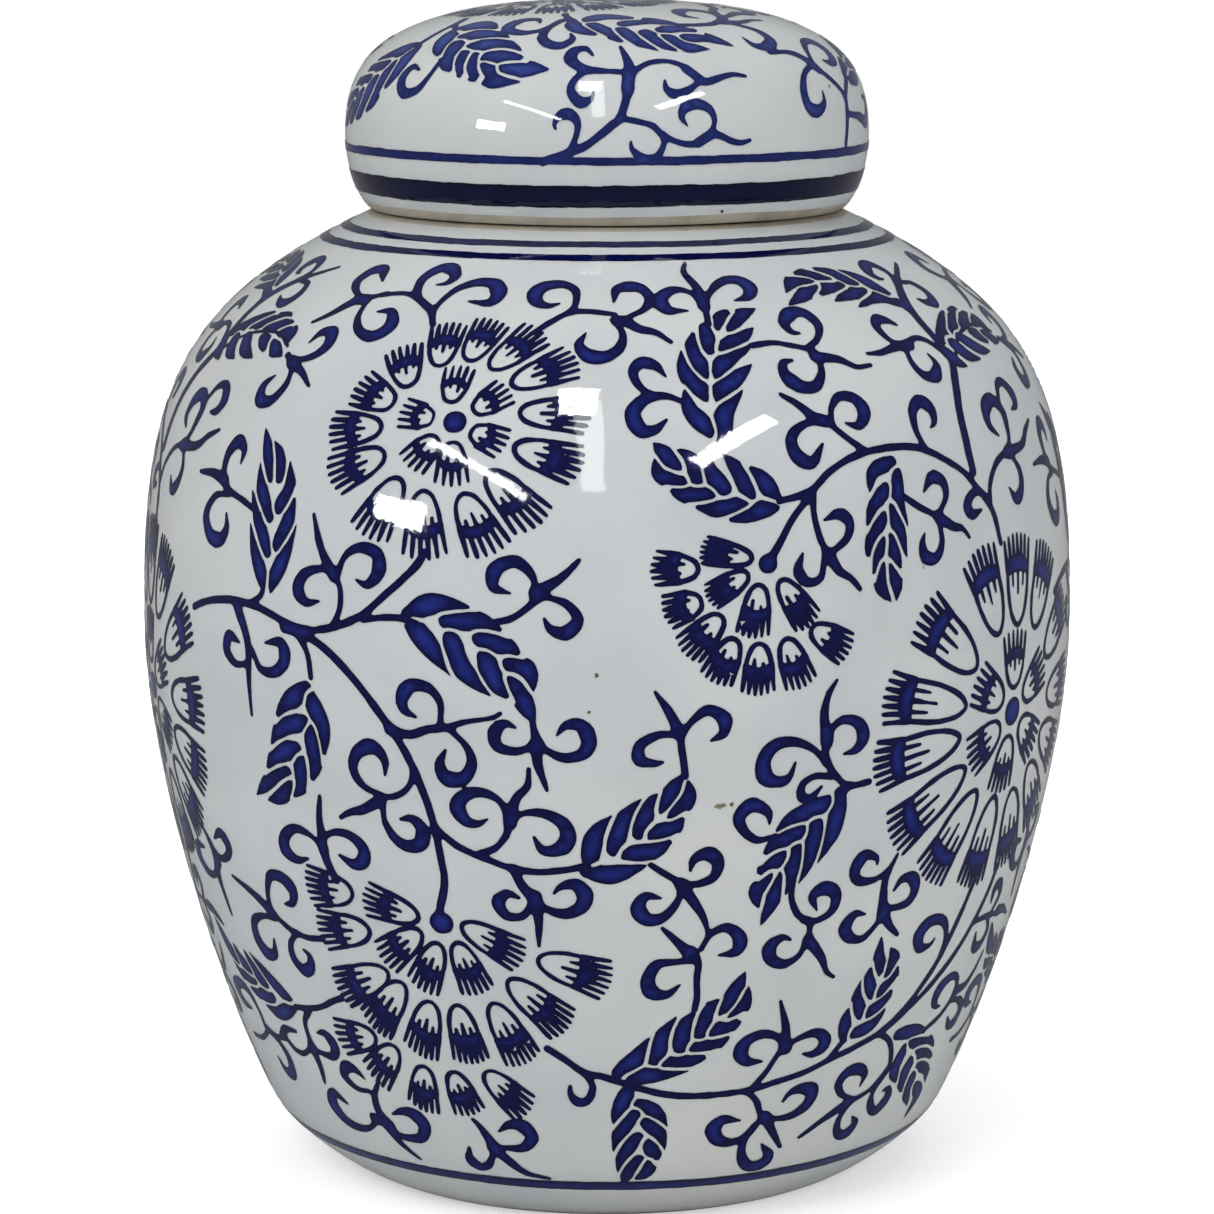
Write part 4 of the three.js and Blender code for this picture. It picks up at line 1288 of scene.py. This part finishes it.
def speck_material():
    """Iron and dirt specks: from pale brown to nearly black."""
    m = Nodes("kiln_speck")
    tone = m.ramp(m.depth(), (0.0, linear(176, 164, 140)), (0.5, linear(112, 100, 84)),
                  (1.0, linear(38, 38, 52)))
    blotch = m.ramp(m.noise(900, 3, 0.7),
                    (0.35, linear(190, 186, 176)), (0.65, linear(255, 255, 255)))
    m.link(m.mix("MULTIPLY", 0.8, tone, blotch), m.shader.inputs["Base Color"])
    m.shader.inputs["Roughness"].default_value = 0.3
    m.shader.inputs["IOR"].default_value = GLAZE_IOR
    m.bump(m.noise(900, 2), 0.2, 0.0001)
    return m.material


def bare_clay_with_painted_shade():
    """Unglazed fired clay: matt and slightly grainy, its warm cream darkened with painted shade."""
    m = Nodes("bare_porcelain")
    # Darker than the cream clay: painted shade, as on the shaded rim under the lid.
    base = m.ramp(m.noise(85, 5, 0.65), (0.25, linear(140, 132, 112)), (0.5, linear(170, 163, 146)),
                  (0.75, linear(186, 180, 166)))
    m.link(base, m.shader.inputs["Base Color"])
    m.link(m.scaled(m.noise(150, 3), 0.3, 0.7, 0.55, 0.75), m.shader.inputs["Roughness"])
    m.bump(m.noise(700, 4, 0.7), 0.3, 0.0003)
    return m.material


def floor_material():
    """A matt pale floor that glows a little for the camera alone, so that it comes out white."""
    glow = 0.46
    m = Nodes("pale_floor")
    m.shader.inputs["Base Color"].default_value = (0.86, 0.86, 0.86, 1)
    m.shader.inputs["Emission Color"].default_value = (1, 1, 1, 1)
    seen = m.add("ShaderNodeLightPath").outputs["Is Camera Ray"]
    m.link(m.scaled(seen, 0, 1, 0, glow), m.shader.inputs["Emission Strength"])
    m.shader.inputs["Roughness"].default_value = 0.9
    m.shader.inputs["Specular IOR Level"].default_value = 0.2
    return m.material


# ---------------------------------------------------------------- the jar

JAR_SPECKS = (
    (22.8, 108, 2.4, 1.0, 0.3), (25.2, 108.2, 0.9, 0.8, 0.45), (-2, 135, 0.9, 0.8, 0.5),
    (-3.5, 127.7, 0.7, 0.6, 0.5), (-66, 62, 0.6, 0.5, 0.6), (150, 170, 0.8, 0.6, 0.5),
    (-130, 96, 0.9, 0.6, 0.4), (-210, 150, 0.7, 0.6, 0.5), (240, 90, 0.8, 0.7, 0.5),
)
LID_SPECKS = (
    (37.2, -75.6, 1.0, 0.8, 1.0), (50.5, -31, 0.6, 0.6, 0.6), (-34, 78, 0.7, 0.6, 0.7),
)


def finish_piece(piece, material, body):
    piece.data.materials.append(material)
    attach(piece, body)


def build_shells(glaze, bare):
    """The glazed shells and the bare clay, which meet at an uneven edge over the foot and rim."""
    foot_edge = hand(21, 0.22, (2, 4, 7, 11, 17))
    rim_edge = hand(22, 0.28, (1, 2, 3, 5, 8, 13))
    foot_glaze = 2.2
    rim_glaze = 2.6
    outer = shell("jar_glaze", WALL, foot_glaze, edge_start=foot_edge)
    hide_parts("jar_body")
    finish_piece(outer, glaze, "jar")
    clay_foot = shell("jar_foot_edge", WALL, 0, foot_glaze, edge_stop=foot_edge)
    finish_piece(clay_foot, bare, "jar")
    finish_piece(shell("jar_foot_ring", FOOT_RING), bare, "jar")
    finish_piece(shell("jar_foot_recess", UNDER), glaze, "jar")
    finish_piece(shell("jar_neck", NECK), bare, "jar")
    finish_piece(shell("jar_inside", INSIDE), glaze, "jar")
    lid = shell("lid_glaze", LID, rim_glaze, edge_start=rim_edge)
    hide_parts("lid")
    finish_piece(lid, glaze, "lid")
    clay_rim = shell("lid_rim_edge", LID, 0, rim_glaze, edge_stop=rim_edge)
    finish_piece(clay_rim, bare, "lid")
    finish_piece(shell("lid_rim", LID_RIM), bare, "lid")
    finish_piece(shell("lid_inside", LID_INSIDE), glaze, "lid")


def build_painting():
    """The blue painting. The lid's is a lighter blue than the body's, and its band is darker."""
    cobalt = cobalt_material("cobalt_blue", (8, 11, 60), (31, 45, 128))
    for piece in paint_body():
        finish_piece(piece, cobalt, "jar")
    motifs, band = paint_lid()
    lid_cobalt = cobalt_material("lid_cobalt", (28, 38, 94), (56, 76, 148))
    finish_piece(motifs, lid_cobalt, "lid")
    band_cobalt = cobalt_material("band_cobalt", (9, 10, 40), (14, 16, 54))
    finish_piece(band, band_cobalt, "lid")


def build_specks():
    dirt = speck_material()
    on_jar = kiln_specks("jar_specks", JAR_SPECKS, body_surface)
    finish_piece(on_jar, dirt, "jar")
    on_lid = kiln_specks("lid_specks", LID_SPECKS, lid_surface)
    finish_piece(on_lid, dirt, "lid")


def build_floor():
    half = 12.0
    mesh = bpy.data.meshes.new("floor")
    corners = [(-half, -half, 0), (half, -half, 0), (half, half, 0), (-half, half, 0)]
    mesh.from_pydata(corners, [], [(0, 1, 2, 3)])
    floor = bpy.data.objects.new("floor", mesh)
    mesh.materials.append(floor_material())
    bpy.context.scene.collection.objects.link(floor)
    floor.visible_glossy = False


def panel_light(name, azimuth, elevation, wide, high, radiance, roll=0.0, away=2.0, fill=False):
    """A rectangular light seen from the jar at those angles, wide and high in degrees.

    A fill light only lights surfaces. The others are the crisp panels that the glaze mirrors.
    """
    a = math.radians(azimuth)
    e = math.radians(elevation)
    front_of_belly = Vector((0, -0.09, 0.16))
    way = Vector((math.sin(a) * math.cos(e), -math.cos(a) * math.cos(e), math.sin(e)))
    data = bpy.data.lights.new(name, "AREA")
    data.shape = "RECTANGLE"
    data.size = 2 * away * math.tan(math.radians(wide / 2))
    data.size_y = 2 * away * math.tan(math.radians(high / 2))
    data.energy = math.pi * data.size * data.size_y * radiance
    lamp = bpy.data.objects.new(name, data)
    lamp.location = front_of_belly + way * away
    aim = (-way).to_track_quat("-Z", "Y").to_matrix()
    lamp.rotation_euler = (aim @ Matrix.Rotation(math.radians(roll), 3, "Z")).to_euler()
    lamp.visible_camera = False
    lamp.visible_glossy = not fill
    lamp.visible_diffuse = fill
    bpy.context.scene.collection.objects.link(lamp)


def build_lights():
    """An even sky that the camera sees as white, a soft light overhead, fills and panels."""
    ambient = 0.24
    backdrop = 1.06
    world = bpy.data.worlds.new("studio")
    world.use_nodes = True
    nodes = world.node_tree.nodes
    sky = nodes["Background"]
    sky.inputs["Color"].default_value = (0.96, 0.98, 1.0, 1)
    path = nodes.new("ShaderNodeLightPath")
    strength = nodes.new("ShaderNodeMapRange")
    strength.inputs["To Min"].default_value = ambient
    strength.inputs["To Max"].default_value = backdrop
    world.node_tree.links.new(path.outputs["Is Camera Ray"], strength.inputs["Value"])
    world.node_tree.links.new(strength.outputs["Result"], sky.inputs["Strength"])
    bpy.context.scene.world = world
    data = bpy.data.lights.new("overhead", "SUN")
    data.energy = 1.38
    data.angle = math.radians(70)
    overhead = bpy.data.objects.new("overhead", data)
    overhead.rotation_euler = (math.radians(14), math.radians(-12), 0)
    overhead.visible_glossy = False
    bpy.context.scene.collection.objects.link(overhead)
    panel_light("fill_left", -40, 35, 30, 30, 3.0, fill=True)
    panel_light("fill_back", 170, 30, 40, 40, 2.0, fill=True)
    panel_light("fill_right", 55, 22, 30, 30, 2.6, fill=True)
    panel_light("panel_tall_bright", -11, 55, 8, 13, 60, 4)
    panel_light("panel_tall", -5, 38, 6, 36, 11, 4)
    panel_light("panel_left", -53, 10.5, 13, 5.5, 60, -5)
    panel_light("panel_streak", -35, 25, 31, 2.2, 45, -27)
    panel_light("panel_right", 37, 35, 26, 4.5, 50, 30)


def build_camera():
    """The camera stands in front of the jar, a little above it, and looks down on it."""
    half_view = 8.02205
    pitch = 9.9
    data = bpy.data.cameras.new("camera")
    data.angle = 2 * math.radians(half_view)
    camera = bpy.data.objects.new("camera", data)
    camera.location = (0, -0.9226, 0.28)
    camera.rotation_euler = (math.radians(90 - pitch), 0, 0)
    bpy.context.scene.collection.objects.link(camera)
    bpy.context.scene.camera = camera


build_shells(glaze_material(), bare_clay_with_painted_shade())
build_painting()
build_specks()
build_floor()
build_lights()
build_camera()
bpy.context.scene.view_settings.view_transform = "Standard"
